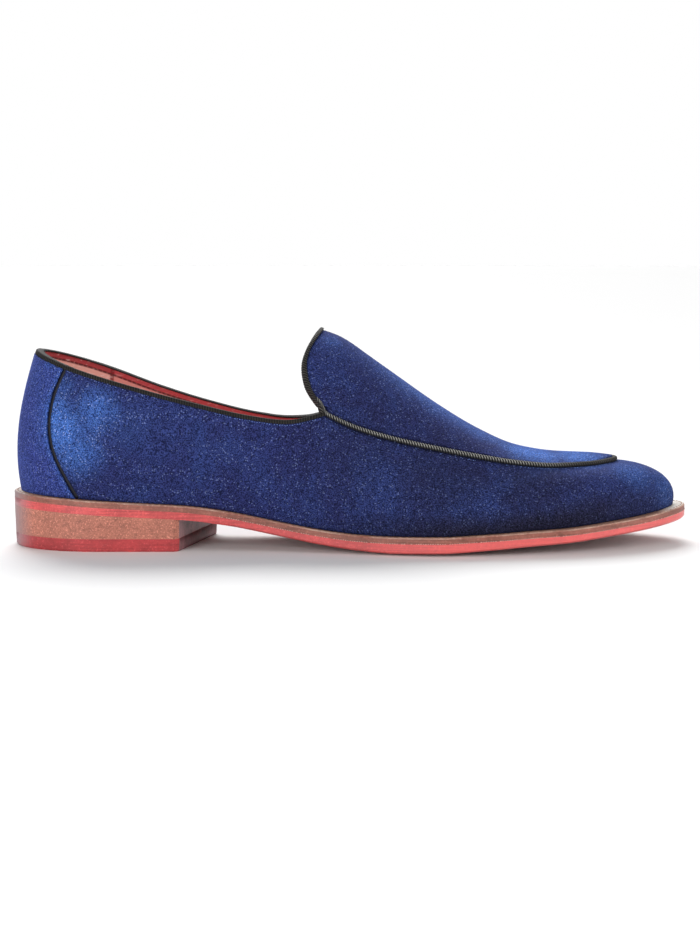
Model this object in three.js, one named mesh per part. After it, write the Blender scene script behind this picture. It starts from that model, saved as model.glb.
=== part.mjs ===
// A velvet slipper loafer for the right foot: a low-heeled dress shoe with a
// raised apron that runs on into a tongue, a bound collar and a corded apron seam.
// Millimetres. +X points to the toe, +Y to the inner (medial) side, +Z up.
// The origin is on the floor under the middle of the sole's box.
import * as THREE from 'three';

// Main sizes of the shoe
const soleLength = 304;       // outsole, back of heel to tip of toe
const ballWidth = 100;        // outsole at the ball of the foot
const heelRise = 18.3;        // floor to outsole at the back of the heel
const toeSpring = 11;         // floor to outsole at the tip of the toe
const backHeight = 87.2;      // floor to collar at the back of the heel
const throatHeight = 61.6;    // floor to collar where the tongue starts
const instepHeight = 94.9;    // floor to the top of the tongue
const apronFrontHeight = 36.6;// floor to the apron seam at its front

// Where things stand along the shoe, as shares of the sole's length from the heel
const collarBackAt = 0.0382;
const throatAt = 0.4622;
const tongueTopAt = 0.4537;
const apronFrontAt = 0.8927;
const throatFootAt = 0.5117;
const breastLateralAt = 0.25;
const breastMedialAt = 0.2967;

// Widths of the upper's two top lines
const collarHalfWidth = 31.5; // collar edge, half its widest
const apronHalfWidth = 35.4;  // apron seam at the throat, half
const tongueReach = 9;        // tongue edge behind the throat

// Thicknesses
const outsoleThick = 3.6;
const weltThick = 2.4;
const edgeLift = 1.5;         // rim of the sole above its tread, at most
const topLiftThick = 5.4;
const insoleThick = 2.6;
const upperWall = 1.7;
const apronRaise = 1.3;       // how far the apron stands above the vamp
const seamGroove = 0.5;       // valley along the seam for the cord
const counterThick = 0.9;

// Edges, bindings and cord
const weltMarginToe = 5.3;    // welt that shows beyond the upper
const weltMarginBall = 3.2;
const weltMarginHeel = 2.6;
const weltMarginBack = 4.2;     // under the counter at the heel's back
const soleBevel = 0.8;        // chamfer round the outsole's lower edge
const treadInset = 12;        // the flat tread starts this far inside the rim
const weltBevel = 0.5;        // chamfer round the welt's upper edge
const toeRound = 62;          // length of the toe's round end
const heelRound = 40;         // length of the heel's round end
const collarRound = 30;       // length of the collar's round back
const apronRound = 45;        // length of the apron's round front
const bindingThick = 0.55;
const collarBindingDepth = 1.6;// outside leg of the collar tape
const tongueBindingDepth = 0.9;
const bindingInsideDepth = 0.2;
const pipingRadius = 0.85;
const pipingSeatOut = 0.95;   // cord's middle above the seam line
const pipingSeatDown = 0.6;   // and towards the vamp
const heelTaper = 0.6;        // heel block narrows to the floor
const heelCornerCut = 1.8;    // cut at the heel's front corners

// Clearances between neighbouring pieces
const layerGap = 0.3;         // between the layers of the sole
const seatGap = 0.3;          // between curved pieces
const throatGap = 1.6;        // bindings stop this far from the throat corner

// How finely the shapes are divided
const collarRibs = 40;
const apronRows = 14;
const apronColumns = 16;
const wallRows = 9;
const stepWidth = 1;          // plan width of the apron's step
const topRow = 2;             // height of the wall's last row, under its top line
const soleStations = 56;
const heelStations = 20;

// Sole profile, u along the length: tread height as a share of heelRise and of
// toeSpring, how far the rim stands above the tread as a share of edgeLift, and
// the outsole's thickness at its rim as a share of outsoleThick
const soleProfile = [
  { u: 0.00, heel: 1.000, spring: 0.00, lift: 0.00, thick: 0.93 },
  { u: 0.08, heel: 0.940, spring: 0.00, lift: 0.00, thick: 0.93 },
  { u: 0.14, heel: 0.878, spring: 0.00, lift: 0.00, thick: 0.93 },
  { u: 0.21, heel: 0.817, spring: 0.00, lift: 0.00, thick: 0.92 },
  { u: 0.26, heel: 0.771, spring: 0.00, lift: 0.00, thick: 0.91 },
  { u: 0.32, heel: 0.640, spring: 0.00, lift: 0.00, thick: 0.90 },
  { u: 0.39, heel: 0.400, spring: 0.00, lift: 0.10, thick: 0.92 },
  { u: 0.45, heel: 0.195, spring: 0.00, lift: 0.30, thick: 0.98 },
  { u: 0.51, heel: 0.040, spring: 0.00, lift: 0.65, thick: 1.10 },
  { u: 0.56, heel: 0.000, spring: 0.00, lift: 0.60, thick: 1.21 },
  { u: 0.63, heel: 0.000, spring: 0.00, lift: 0.87, thick: 1.18 },
  { u: 0.69, heel: 0.000, spring: 0.09, lift: 1.00, thick: 1.10 },
  { u: 0.75, heel: 0.000, spring: 0.22, lift: 0.90, thick: 1.00 },
  { u: 0.81, heel: 0.000, spring: 0.36, lift: 0.63, thick: 0.92 },
  { u: 0.87, heel: 0.000, spring: 0.55, lift: 0.50, thick: 0.86 },
  { u: 0.93, heel: 0.000, spring: 0.74, lift: 0.25, thick: 0.88 },
  { u: 1.00, heel: 0.000, spring: 1.00, lift: 0.00, thick: 0.95 },
];

// Sole outline before its ends are rounded: spine, and half widths either side
// of it, as shares of ballWidth
const soleOutline = [
  { u: 0.00, spine: -0.029, lateral: 0.320, medial: 0.320 },
  { u: 0.13, spine: -0.029, lateral: 0.320, medial: 0.318 },
  { u: 0.25, spine: -0.029, lateral: 0.317, medial: 0.298 },
  { u: 0.30, spine: -0.027, lateral: 0.316, medial: 0.271 },
  { u: 0.36, spine: -0.024, lateral: 0.322, medial: 0.245 },
  { u: 0.41, spine: -0.020, lateral: 0.340, medial: 0.241 },
  { u: 0.46, spine: -0.016, lateral: 0.370, medial: 0.262 },
  { u: 0.51, spine: -0.012, lateral: 0.412, medial: 0.316 },
  { u: 0.57, spine: -0.006, lateral: 0.464, medial: 0.396 },
  { u: 0.64, spine: 0.003, lateral: 0.503, medial: 0.471 },
  { u: 0.70, spine: 0.012, lateral: 0.502, medial: 0.488 },
  { u: 0.76, spine: 0.021, lateral: 0.474, medial: 0.461 },
  { u: 0.83, spine: 0.030, lateral: 0.446, medial: 0.424 },
  { u: 0.90, spine: 0.039, lateral: 0.409, medial: 0.380 },
  { u: 1.00, spine: 0.053, lateral: 0.355, medial: 0.345 },
];

// Collar edge, u from its back to the throat: half widths as shares of
// collarHalfWidth, heights as shares of the rise from throat to back
const collarLine = [
  { u: 0.00, wide: 0.86, lateral: 1.000, medial: 1.000 },
  { u: 0.10, wide: 0.90, lateral: 0.810, medial: 0.836 },
  { u: 0.24, wide: 0.92, lateral: 0.580, medial: 0.597 },
  { u: 0.41, wide: 0.96, lateral: 0.335, medial: 0.272 },
  { u: 0.59, wide: 0.99, lateral: 0.105, medial: -0.015 },
  { u: 0.75, wide: 1.02, lateral: -0.075, medial: -0.215 },
  { u: 0.87, wide: 1.06, lateral: -0.145, medial: -0.295 },
  { u: 0.94, wide: 1.09, lateral: -0.090, medial: -0.280 },
  { u: 1.00, wide: 1.125, lateral: 0.000, medial: -0.210 },
];

// Apron seam, u from the throat to its front: half widths as shares of
// apronHalfWidth before the front is rounded, heights as shares of the fall
// from the throat to the apron's front
const seamLine = [
  { u: 0.00, wide: 1.00, lateral: 1.000, medial: 0.788 },
  { u: 0.05, wide: 0.995, lateral: 0.858, medial: 0.730 },
  { u: 0.12, wide: 0.98, lateral: 0.705, medial: 0.628 },
  { u: 0.25, wide: 0.95, lateral: 0.503, medial: 0.448 },
  { u: 0.38, wide: 0.91, lateral: 0.342, medial: 0.296 },
  { u: 0.52, wide: 0.86, lateral: 0.185, medial: 0.140 },
  { u: 0.65, wide: 0.80, lateral: 0.060, medial: 0.020 },
  { u: 0.78, wide: 0.73, lateral: -0.014, medial: -0.052 },
  { u: 0.90, wide: 0.65, lateral: -0.024, medial: -0.052 },
  { u: 1.00, wide: 0.57, lateral: 0.000, medial: 0.000 },
];

// Centre line of the upper along the sole, as a share of ballWidth
const upperCentre = [
  { u: 0.00, centre: -0.029 },
  { u: 0.25, centre: -0.027 },
  { u: 0.46, centre: 0.006 },
  { u: 0.60, centre: 0.018 },
  { u: 0.75, centre: 0.030 },
  { u: 0.90, centre: 0.043 },
  { u: 1.00, centre: 0.053 },
];

// Crown of the apron, u from the tongue's top to the apron's front: height as
// a share of the fall from the tongue's top to the seam's front
const crownLine = [
  { u: -0.08, height: 1.010 },
  { u: 0.00, height: 1.000 },
  { u: 0.034, height: 0.985 },
  { u: 0.067, height: 0.946 },
  { u: 0.135, height: 0.841 },
  { u: 0.27, height: 0.621 },
  { u: 0.40, height: 0.413 },
  { u: 0.54, height: 0.222 },
  { u: 0.67, height: 0.095 },
  { u: 0.80, height: 0.047 },
  { u: 0.93, height: 0.036 },
  { u: 0.975, height: 0.029 },
  { u: 1.00, height: 0.015 },
];

// Tongue edge, across from the crown (0) to the throat (1): how far back it
// reaches as a share of tongueReach
const tongueEdge = [
  { across: -0.14, back: 0.31 },
  { across: 0.00, back: 0.26 },
  { across: 0.14, back: 0.31 },
  { across: 0.32, back: 0.51 },
  { across: 0.54, back: 0.84 },
  { across: 0.70, back: 1.03 },
  { across: 0.80, back: 1.01 },
  { across: 0.90, back: 0.86 },
  { across: 0.97, back: 0.49 },
  { across: 1.00, back: 0.00 },
];

// How the upper's wall leaves the welt and reaches its top line. s goes round
// the shoe: 0 lateral throat, 0.5 heel, 1 medial throat, 1.5 toe, 2 lateral
// throat again. Leans are degrees off the vertical, outward at the foot and
// inward at the top; pulls are shares of the wall's height.
const wallShape = [
  { s: 0.00, footLean: 14, topLean: 22, footPull: 0.36, topPull: 0.34 },
  { s: 0.15, footLean: 13, topLean: 8, footPull: 0.36, topPull: 0.34 },
  { s: 0.35, footLean: 10, topLean: 10, footPull: 0.36, topPull: 0.34 },
  { s: 0.50, footLean: 10, topLean: 17, footPull: 0.38, topPull: 0.34 },
  { s: 0.65, footLean: 12, topLean: 10, footPull: 0.36, topPull: 0.34 },
  { s: 0.82, footLean: 26, topLean: 6, footPull: 0.36, topPull: 0.34 },
  { s: 1.00, footLean: 22, topLean: 20, footPull: 0.36, topPull: 0.34 },
  { s: 1.20, footLean: 16, topLean: 40, footPull: 0.34, topPull: 0.38 },
  { s: 1.42, footLean: 14, topLean: 82, footPull: 0.33, topPull: 0.50 },
  { s: 1.50, footLean: 13, topLean: 88, footPull: 0.36, topPull: 0.52 },
  { s: 1.58, footLean: 14, topLean: 82, footPull: 0.33, topPull: 0.50 },
  { s: 1.80, footLean: 14, topLean: 40, footPull: 0.34, topPull: 0.38 },
  { s: 2.00, footLean: 14, topLean: 22, footPull: 0.36, topPull: 0.34 },
];

// Counter's front edge: height up the wall against s beside the heel's middle
const counterEdge = [
  { up: 0.00, half: 0.121 },
  { up: 0.15, half: 0.106 },
  { up: 0.35, half: 0.089 },
  { up: 0.55, half: 0.082 },
  { up: 0.75, half: 0.085 },
  { up: 1.00, half: 0.100 },
];

// Small helpers

const UP = new THREE.Vector3(0, 0, 1);
const clamp = THREE.MathUtils.clamp;
const radians = THREE.MathUtils.degToRad;

// A smooth line through a table's rows that never overshoots them.
function smooth(rows, key, column) {
  const n = rows.length;
  const at = rows.map((row) => row[key]);
  const value = rows.map((row) => row[column]);
  const step = [];
  for (let i = 0; i < n - 1; i++) step.push((value[i + 1] - value[i]) / (at[i + 1] - at[i]));
  const slope = value.map((v, i) => {
    if (i === 0) return step[0];
    if (i === n - 1) return step[n - 2];
    if (step[i - 1] * step[i] <= 0) return 0;
    return (2 * step[i - 1] * step[i]) / (step[i - 1] + step[i]);
  });
  return (x) => {
    const t0 = clamp(x, at[0], at[n - 1]);
    let i = 0;
    while (i < n - 2 && t0 > at[i + 1]) i++;
    const h = at[i + 1] - at[i];
    const t = (t0 - at[i]) / h;
    return (
      value[i] * (1 + 2 * t) * (1 - t) ** 2 +
      slope[i] * h * t * (1 - t) ** 2 +
      value[i + 1] * t * t * (3 - 2 * t) +
      slope[i + 1] * h * t * t * (t - 1)
    );
  };
}

// Columns of a table as functions of its key.
const columns = (rows, key, names) =>
  Object.fromEntries(names.map((name) => [name, smooth(rows, key, name)]));

// 1 along a straight stretch, falling to 0 at a round end of the given length.
const roundEnd = (distance, length) =>
  distance >= length ? 1 : Math.sqrt(Math.max(0, 1 - (1 - distance / length) ** 2));

const lerp = (a, b, t) => a + (b - a) * t;

// Builds a mesh geometry from points and from faces of three or four corners.
function geometryOf(points, faces) {
  const index = [];
  for (const face of faces) {
    const ring = face.filter((v, i) => v !== face[(i + 1) % face.length]);
    for (let i = 1; i < ring.length - 1; i++) index.push(ring[0], ring[i], ring[i + 1]);
  }
  const geometry = new THREE.BufferGeometry();
  const places = points.flatMap((p) => p.toArray());
  geometry.setAttribute('position', new THREE.Float32BufferAttribute(places, 3));
  geometry.setIndex(index);
  geometry.computeVertexNormals();
  return geometry;
}

// Profile and outline of the sole

const profile = columns(soleProfile, 'u', ['heel', 'spring', 'lift', 'thick']);
const outline = columns(soleOutline, 'u', ['spine', 'lateral', 'medial']);
const alongSole = (x) => x / soleLength + 0.5;
const soleX = (u) => (u - 0.5) * soleLength;

const treadHeight = (x) =>
  heelRise * profile.heel(alongSole(x)) + toeSpring * profile.spring(alongSole(x));
const rimUnderside = (x) => treadHeight(x) + edgeLift * profile.lift(alongSole(x));
const soleTopside = (x) => rimUnderside(x) + outsoleThick * profile.thick(alongSole(x));
const weltUnderside = (x) => soleTopside(x) + layerGap;
const weltTopside = (x) => weltUnderside(x) + weltThick;
const upperFoot = (x) => weltTopside(x) + seatGap;

// A point on the sole's edge, by its share along the length and its side:
// -1 lateral, +1 medial.
function edgeAt(u, side) {
  const half = side < 0 ? outline.lateral(u) : outline.medial(u);
  const ends = roundEnd(u * soleLength, heelRound) * roundEnd((1 - u) * soleLength, toeRound);
  return new THREE.Vector2(soleX(u), ballWidth * (outline.spine(u) + side * half * ends));
}

// The edge as a loop: turn 0 at the heel, lateral side first, toe at pi.
function edgePoint(turn) {
  const side = Math.sin(turn) < 0 ? 1 : -1;
  return edgeAt((1 - Math.cos(turn)) / 2, side);
}

// The edge moved inward by a distance.
function insetEdge(turn, inset) {
  const nearby = 0.01;
  const run = edgePoint(turn + nearby).sub(edgePoint(turn - nearby)).normalize();
  return edgePoint(turn).add(new THREE.Vector2(-run.y, run.x).multiplyScalar(inset));
}

// The width of welt left showing at a point along the sole.
const weltMargin = smooth(
  [
    { u: 0, margin: weltMarginBack },
    { u: 0.03, margin: weltMarginBack },
    { u: 0.2, margin: weltMarginHeel },
    { u: 0.4, margin: weltMarginHeel },
    { u: 0.66, margin: weltMarginBall },
    { u: 0.9, margin: weltMarginToe },
    { u: 1, margin: weltMarginToe },
  ],
  'u',
  'margin',
);

// Where the upper's wall stands on the welt.
function footPoint(turn) {
  const p = insetEdge(turn, weltMargin((1 - Math.cos(turn)) / 2));
  return new THREE.Vector3(p.x, p.y, upperFoot(p.x));
}

// Top lines of the upper

const collar = columns(collarLine, 'u', ['wide', 'lateral', 'medial']);
const seam = columns(seamLine, 'u', ['wide', 'lateral', 'medial']);
const centre = smooth(upperCentre, 'u', 'centre');
const crown = smooth(crownLine, 'u', 'height');
const throatX = soleX(throatAt);
const tongueTopX = soleX(tongueTopAt);
const apronFrontX = soleX(apronFrontAt);
const collarBackX = soleX(collarBackAt);
const centreAt = (x) => ballWidth * centre(alongSole(x));

function collarPoint(u, side) {
  const x = lerp(collarBackX, throatX, u);
  const half = collarHalfWidth * collar.wide(u) * roundEnd(u * (throatX - collarBackX), collarRound);
  const share = side < 0 ? collar.lateral(u) : collar.medial(u);
  return new THREE.Vector3(x, centreAt(x) + side * half, lerp(throatHeight, backHeight, share));
}

// Height and half width of the apron seam at x, on its lateral or medial side.
const seamShare = (x) => (x - throatX) / (apronFrontX - throatX);
const seamHeight = (x, side) => {
  const share = seamShare(x);
  const level = side < 0 ? seam.lateral(share) : seam.medial(share);
  const behindThroat = Math.max(0, throatX - x);
  return lerp(apronFrontHeight, throatHeight, level) + behindThroat * 0.45;
};
const seamHalf = (x) =>
  apronHalfWidth * seam.wide(seamShare(x)) * roundEnd(Math.max(0, apronFrontX - x), apronRound);

function seamPoint(u, side) {
  const x = lerp(throatX, apronFrontX, u);
  return new THREE.Vector3(x, centreAt(x) + side * seamHalf(x), seamHeight(x, side));
}

const crownHeight = (x) =>
  lerp(apronFrontHeight, instepHeight, crown((x - tongueTopX) / (apronFrontX - tongueTopX)));

// Height of the apron over a point of the plan, before it is raised.
function apronHeight(x, y) {
  const half = seamHalf(x);
  const off = y - centreAt(x);
  const across = half > 0 ? clamp(Math.abs(off) / half, 0, 1) : 1;
  const fullness = lerp(0.82, 0.95, clamp(seamShare(x), 0, 1));
  return lerp(seamHeight(x, off), crownHeight(x), (1 - across * across) ** fullness);
}

// A curve sampled closely, to be walked evenly by its length.
const evenCurve = (pointAt, count = 48) => {
  const points = Array.from({ length: count + 1 }, (_, i) => pointAt(i / count));
  return new THREE.CatmullRomCurve3(points, false, 'centripetal');
};

// Quarter turns are sampled by angle, so that their round ends come out round.
const towardsRoundEnd = (t) => Math.sin((t * Math.PI) / 2);
const fromRoundEnd = (t) => 1 - Math.cos((t * Math.PI) / 2);
const throatTurn = Math.acos(1 - 2 * throatFootAt);

// The upper's wall in four quarters, each from s to s + 0.5: its foot on the
// welt and its top line.
const quarters = [
  {
    foot: evenCurve((t) => footPoint(lerp(throatTurn, 0, t))),
    top: evenCurve((t) => collarPoint(1 - towardsRoundEnd(t), -1)),
  },
  {
    foot: evenCurve((t) => footPoint(lerp(2 * Math.PI, 2 * Math.PI - throatTurn, t))),
    top: evenCurve((t) => collarPoint(fromRoundEnd(t), 1)),
  },
  {
    foot: evenCurve((t) => footPoint(lerp(2 * Math.PI - throatTurn, Math.PI, t))),
    top: evenCurve((t) => seamPoint(towardsRoundEnd(t), 1)),
  },
  {
    foot: evenCurve((t) => footPoint(lerp(Math.PI, throatTurn, t))),
    top: evenCurve((t) => seamPoint(1 - fromRoundEnd(t), -1)),
  },
];

const shape = columns(wallShape, 's', ['footLean', 'topLean', 'footPull', 'topPull']);

// The plan direction that points out of the shoe beside a curve.
const outwardOf = (tangent) => new THREE.Vector3(-tangent.y, tangent.x, 0).normalize();

// The rib of the wall at s, from its foot to its top line.
function ribAt(s) {
  const round = ((s % 2) + 2) % 2;
  const quarter = quarters[Math.floor(round * 2)];
  const t = round * 2 - Math.floor(round * 2);
  const foot = quarter.foot.getPointAt(t);
  const top = quarter.top.getPointAt(t);
  const footOut = outwardOf(quarter.foot.getTangentAt(t));
  const topOut = outwardOf(quarter.top.getTangentAt(t));
  const span = foot.distanceTo(top);
  const footLean = radians(shape.footLean(round));
  const topFall = radians(90 - shape.topLean(round));
  const footHandle = foot
    .clone()
    .addScaledVector(footOut, Math.sin(footLean) * shape.footPull(round) * span)
    .addScaledVector(UP, Math.cos(footLean) * shape.footPull(round) * span);
  const topHandle = top
    .clone()
    .addScaledVector(topOut, Math.cos(topFall) * shape.topPull(round) * span)
    .addScaledVector(UP, -Math.sin(topFall) * shape.topPull(round) * span);
  return new THREE.CubicBezierCurve3(foot, footHandle, topHandle, top);
}

const wallPoint = (s, up) => ribAt(s).getPoint(up);

// The outward normal of the wall at s, a share up the rib.
function wallNormal(s, up) {
  const small = 0.004;
  const low = Math.max(0, up - small);
  const high = Math.min(1, up + small);
  const across = wallPoint(s + small, up).sub(wallPoint(s - small, up));
  const along = wallPoint(s, high).sub(wallPoint(s, low));
  return along.cross(across).normalize();
}

// Where the ribs stand round the shoe, with even steps on each stretch and the
// apron's front columns closed up round its end.
const frontCorner = 0.8;
const ribStations = [];
for (let i = 0; i < collarRibs; i++) ribStations.push(i / collarRibs);
for (let i = 0; i < apronRows; i++) ribStations.push(1 + (frontCorner / 2) * (i / apronRows));
for (let i = 0; i < apronColumns; i++)
  ribStations.push(lerp(1 + frontCorner / 2, 2 - frontCorner / 2, i / apronColumns));
for (let i = 0; i < apronRows; i++)
  ribStations.push(lerp(2 - frontCorner / 2, 2, i / apronRows));

// The upper's skin

// The apron's point at a row from the tongue edge (0) to the front (1) and a
// column from the medial seam (0) to the lateral seam (1), spanned between
// its four edges in plan and then set to its height.
function apronPoint(row, column) {
  const medial = quarters[2].top.getPointAt(row * frontCorner);
  const lateral = quarters[3].top.getPointAt(1 - row * frontCorner);
  const front = frontEdge(column);
  const tongue = tonguePoint(column);
  const across = (1 - Math.cos(Math.PI * column)) / 2;
  const blend = (axis) => {
    const sides = lerp(medial[axis], lateral[axis], across);
    const ends = lerp(tongue[axis], front[axis], row);
    const tongueCorners = lerp(tonguePoint(0)[axis], tonguePoint(1)[axis], across);
    const frontCorners = lerp(frontEdge(0)[axis], frontEdge(1)[axis], across);
    return sides + ends - lerp(tongueCorners, frontCorners, row);
  };
  const x = blend('x');
  const y = blend('y');
  return new THREE.Vector3(x, y, apronHeight(x, y));
}

// The seam round the apron's front, from the medial to the lateral corner.
function frontEdge(column) {
  const s = lerp(frontCorner, 2 - frontCorner, column);
  return s < 1 ? quarters[2].top.getPointAt(s) : quarters[3].top.getPointAt(s - 1);
}

// A point of the apron just inside the seam at s, where its step stands.
function insideSeam(s) {
  const quarter = quarters[Math.min(3, Math.floor(s * 2))];
  const t = s * 2 - quarters.indexOf(quarter);
  const p = quarter.top.getPointAt(t).addScaledVector(outwardOf(quarter.top.getTangentAt(t)), -stepWidth);
  return new THREE.Vector3(p.x, p.y, apronHeight(p.x, p.y));
}

const tongueBack = smooth(tongueEdge, 'across', 'back');

// The tongue's free edge, from the medial to the lateral throat.
function tonguePoint(column) {
  const across = Math.cos(Math.PI * column);
  const x = throatX - tongueReach * tongueBack(Math.abs(across));
  const y = centreAt(x) + across * apronHalfWidth;
  return new THREE.Vector3(x, y, apronHeight(x, y));
}

// Skin of the whole upper as a net of four-cornered faces: the wall round the
// shoe, then the apron with a narrow step just inside its seam.
function upperSkin() {
  const points = [];
  const raise = [];
  const faces = [];
  const add = (point, height = 0) => {
    points.push(point);
    raise.push(height);
    return points.length - 1;
  };

  const wall = ribStations.map((s) => {
    const rib = ribAt(s);
    const lastRow = 1 - topRow / rib.getLength();
    return Array.from({ length: wallRows + 1 }, (_, j) => {
      if (j < wallRows) return add(rib.getPoint((lastRow * j) / (wallRows - 1)));
      return add(rib.getPoint(1), s > 1 ? -seamGroove : 0);
    });
  });
  wall.forEach((rib, i) => {
    const next = wall[(i + 1) % wall.length];
    for (let j = 0; j < wallRows; j++) faces.push([rib[j], rib[j + 1], next[j + 1], next[j]]);
  });

  // The place on the seam, counted from the medial throat, of a point on the
  // border of the apron's net.
  const seamPlace = (row, column) => {
    if (column === 0) return row;
    if (row === apronRows) return apronRows + column;
    if (column === apronColumns) return 2 * apronRows + apronColumns - row;
    return null;
  };

  const net = [];
  const seamNet = [];
  for (let row = 0; row <= apronRows; row++) {
    net.push([]);
    seamNet.push([]);
    for (let column = 0; column <= apronColumns; column++) {
      const place = seamPlace(row, column);
      if (place === null) {
        net[row].push(add(apronPoint(row / apronRows, column / apronColumns), apronRaise));
        seamNet[row].push(null);
        continue;
      }
      const rib = (collarRibs + place) % wall.length;
      seamNet[row].push(wall[rib][wallRows]);
      net[row].push(add(insideSeam(ribStations[rib] || 2), row === 0 ? 0 : apronRaise));
    }
  }
  for (let row = 0; row < apronRows; row++) {
    for (let column = 0; column < apronColumns; column++)
      faces.push([net[row][column], net[row][column + 1], net[row + 1][column + 1], net[row + 1][column]]);
    faces.push([seamNet[row][0], net[row][0], net[row + 1][0], seamNet[row + 1][0]]);
    const last = apronColumns;
    faces.push([net[row][last], seamNet[row][last], seamNet[row + 1][last], net[row + 1][last]]);
  }
  for (let column = 0; column < apronColumns; column++) {
    const row = apronRows;
    faces.push([net[row][column], net[row][column + 1], seamNet[row][column + 1], seamNet[row][column]]);
  }
  return { points, raise, faces, wall, net };
}

// Average normals of a net's points.
function netNormals(points, faces) {
  const normals = points.map(() => new THREE.Vector3());
  for (const [a, b, c, d] of faces) {
    const normal = points[c].clone().sub(points[a]).cross(points[d].clone().sub(points[b]));
    for (const v of [a, b, c, d]) normals[v].add(normal);
  }
  return normals.map((normal) => normal.normalize());
}

// A closed wall from two skins over the same net: outer, inner and their rims.
function wallBetween(outer, inner, faces) {
  const count = outer.length;
  const all = faces.map((face) => [...face]);
  const edges = new Map();
  for (const face of faces) {
    all.push(face.map((v) => v + count).reverse());
    face.forEach((v, i) => {
      const w = face[(i + 1) % face.length];
      if (v !== w) edges.set(`${v},${w}`, [v, w]);
    });
  }
  for (const [v, w] of edges.values())
    if (!edges.has(`${w},${v}`)) all.push([w, v, v + count, w + count]);
  return geometryOf([...outer, ...inner], all);
}

const skin = upperSkin();
const skinNormals = netNormals(skin.points, skin.faces);
const outerSkin = skin.points.map((p, i) => p.clone().addScaledVector(skinNormals[i], skin.raise[i]));
const innerSkin = skin.points.map((p, i) => p.clone().addScaledVector(skinNormals[i], -upperWall));
for (const rib of skin.wall) innerSkin[rib[0]].z = upperFoot(innerSkin[rib[0]].x);

const upperGeometry = () => wallBetween(outerSkin, innerSkin, skin.faces);

// The counter: a second layer round the heel, under the collar tape
function counterGeometry() {
  const half = smooth(counterEdge, 'up', 'half');
  const rows = 9;
  const spans = 20;
  const top = (s) => 1 - (collarBindingDepth + seatGap) / ribAt(s).getLength();
  const inner = [];
  const outer = [];
  const faces = [];
  for (let i = 0; i <= spans; i++)
    for (let j = 0; j <= rows; j++) {
      const s0 = 0.5 + lerp(-1, 1, i / spans) * half(j / rows);
      const up = (j / rows) * top(s0);
      const p = wallPoint(s0, up);
      const normal = wallNormal(s0, up);
      inner.push(p.clone().addScaledVector(normal, seatGap));
      outer.push(p.clone().addScaledVector(normal, seatGap + counterThick));
      if (i < spans && j < rows) {
        const a = i * (rows + 1) + j;
        faces.push([a, a + 1, a + rows + 2, a + rows + 1]);
      }
    }
  for (const ring of [inner, outer])
    for (let i = 0; i <= spans; i++) ring[i * (rows + 1)].z = upperFoot(ring[i * (rows + 1)].x);
  return wallBetween(outer, inner, faces);
}

// A closed tube of one section carried along stations; each station gives its
// section's points in space.
function sweep(stations, loop = false) {
  const size = stations[0].length;
  const points = stations.flat();
  const faces = [];
  const spans = loop ? stations.length : stations.length - 1;
  for (let i = 0; i < spans; i++)
    for (let j = 0; j < size; j++) {
      const k = (j + 1) % size;
      const next = ((i + 1) % stations.length) * size;
      faces.push([i * size + j, i * size + k, next + k, next + j]);
    }
  if (!loop) {
    const contour = stations[0];
    const origin = contour[0];
    const along = stations[1][0].clone().sub(origin).normalize();
    const axisA = contour[1].clone().sub(origin).normalize();
    const axisB = along.clone().cross(axisA).normalize();
    const flat = contour.map((p) => {
      const offset = p.clone().sub(origin);
      return new THREE.Vector2(offset.dot(axisA), offset.dot(axisB));
    });
    const last = (stations.length - 1) * size;
    for (const corner of THREE.ShapeUtils.triangulateShape(flat, [])) {
      const [a, b, c] = corner.sort((v, w) => v - w);
      faces.push([a, c, b], [last + a, last + b, last + c]);
    }
  }
  return geometryOf(points, faces);
}

// Tape folded over a rim: one section at each station of the rim, given as
// {outer, inner, up} with up along the wall towards its edge.
function bindingGeometry(rim, outsideDepth) {
  const bend = 5;
  const stations = rim.map(({ outer, inner, up }) => {
    const middle = outer.clone().add(inner).multiplyScalar(0.5);
    const out = outer.clone().sub(inner);
    const half = out.length() / 2 + seatGap;
    out.normalize();
    const at = (o, r) => middle.clone().addScaledVector(out, o).addScaledVector(up, r);
    const section = [at(half, -outsideDepth), at(half + bindingThick, -outsideDepth)];
    for (let i = 0; i <= bend; i++) {
      const turn = (Math.PI * i) / bend;
      section.push(at((half + bindingThick) * Math.cos(turn), seatGap + bindingThick * Math.sin(turn)));
    }
    section.push(at(-half - bindingThick, -bindingInsideDepth), at(-half, -bindingInsideDepth));
    section.push(at(-half, seatGap), at(half, seatGap));
    return section;
  });
  return sweep(stations);
}

// Rim of the collar, from throat to throat round the heel.
function collarRim() {
  const rim = [];
  for (let i = 0; i <= collarRibs; i++) {
    const rib = skin.wall[i % skin.wall.length];
    const last = rib[wallRows];
    const before = rib[wallRows - 1];
    rim.push({
      outer: outerSkin[last].clone(),
      inner: innerSkin[last].clone(),
      up: skin.points[last].clone().sub(skin.points[before]).normalize(),
    });
  }
  return trimmed(rim);
}

// Rim of the tongue, from the medial to the lateral throat.
function tongueRim() {
  const rim = skin.net[0].map((v, column) => ({
    outer: outerSkin[v].clone(),
    inner: innerSkin[v].clone(),
    up: skin.points[v].clone().sub(skin.points[skin.net[1][column]]).normalize(),
  }));
  return trimmed(rim);
}

// A rim with its two end stations moved in from the throat corners.
function trimmed(rim) {
  const ends = [
    [0, 1],
    [rim.length - 1, rim.length - 2],
  ];
  for (const [end, next] of ends) {
    const share = clamp(throatGap / rim[end].outer.distanceTo(rim[next].outer), 0, 0.9);
    for (const key of ['outer', 'inner', 'up']) rim[end][key].lerp(rim[next][key], share);
    rim[end].up.normalize();
  }
  return rim;
}

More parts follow.
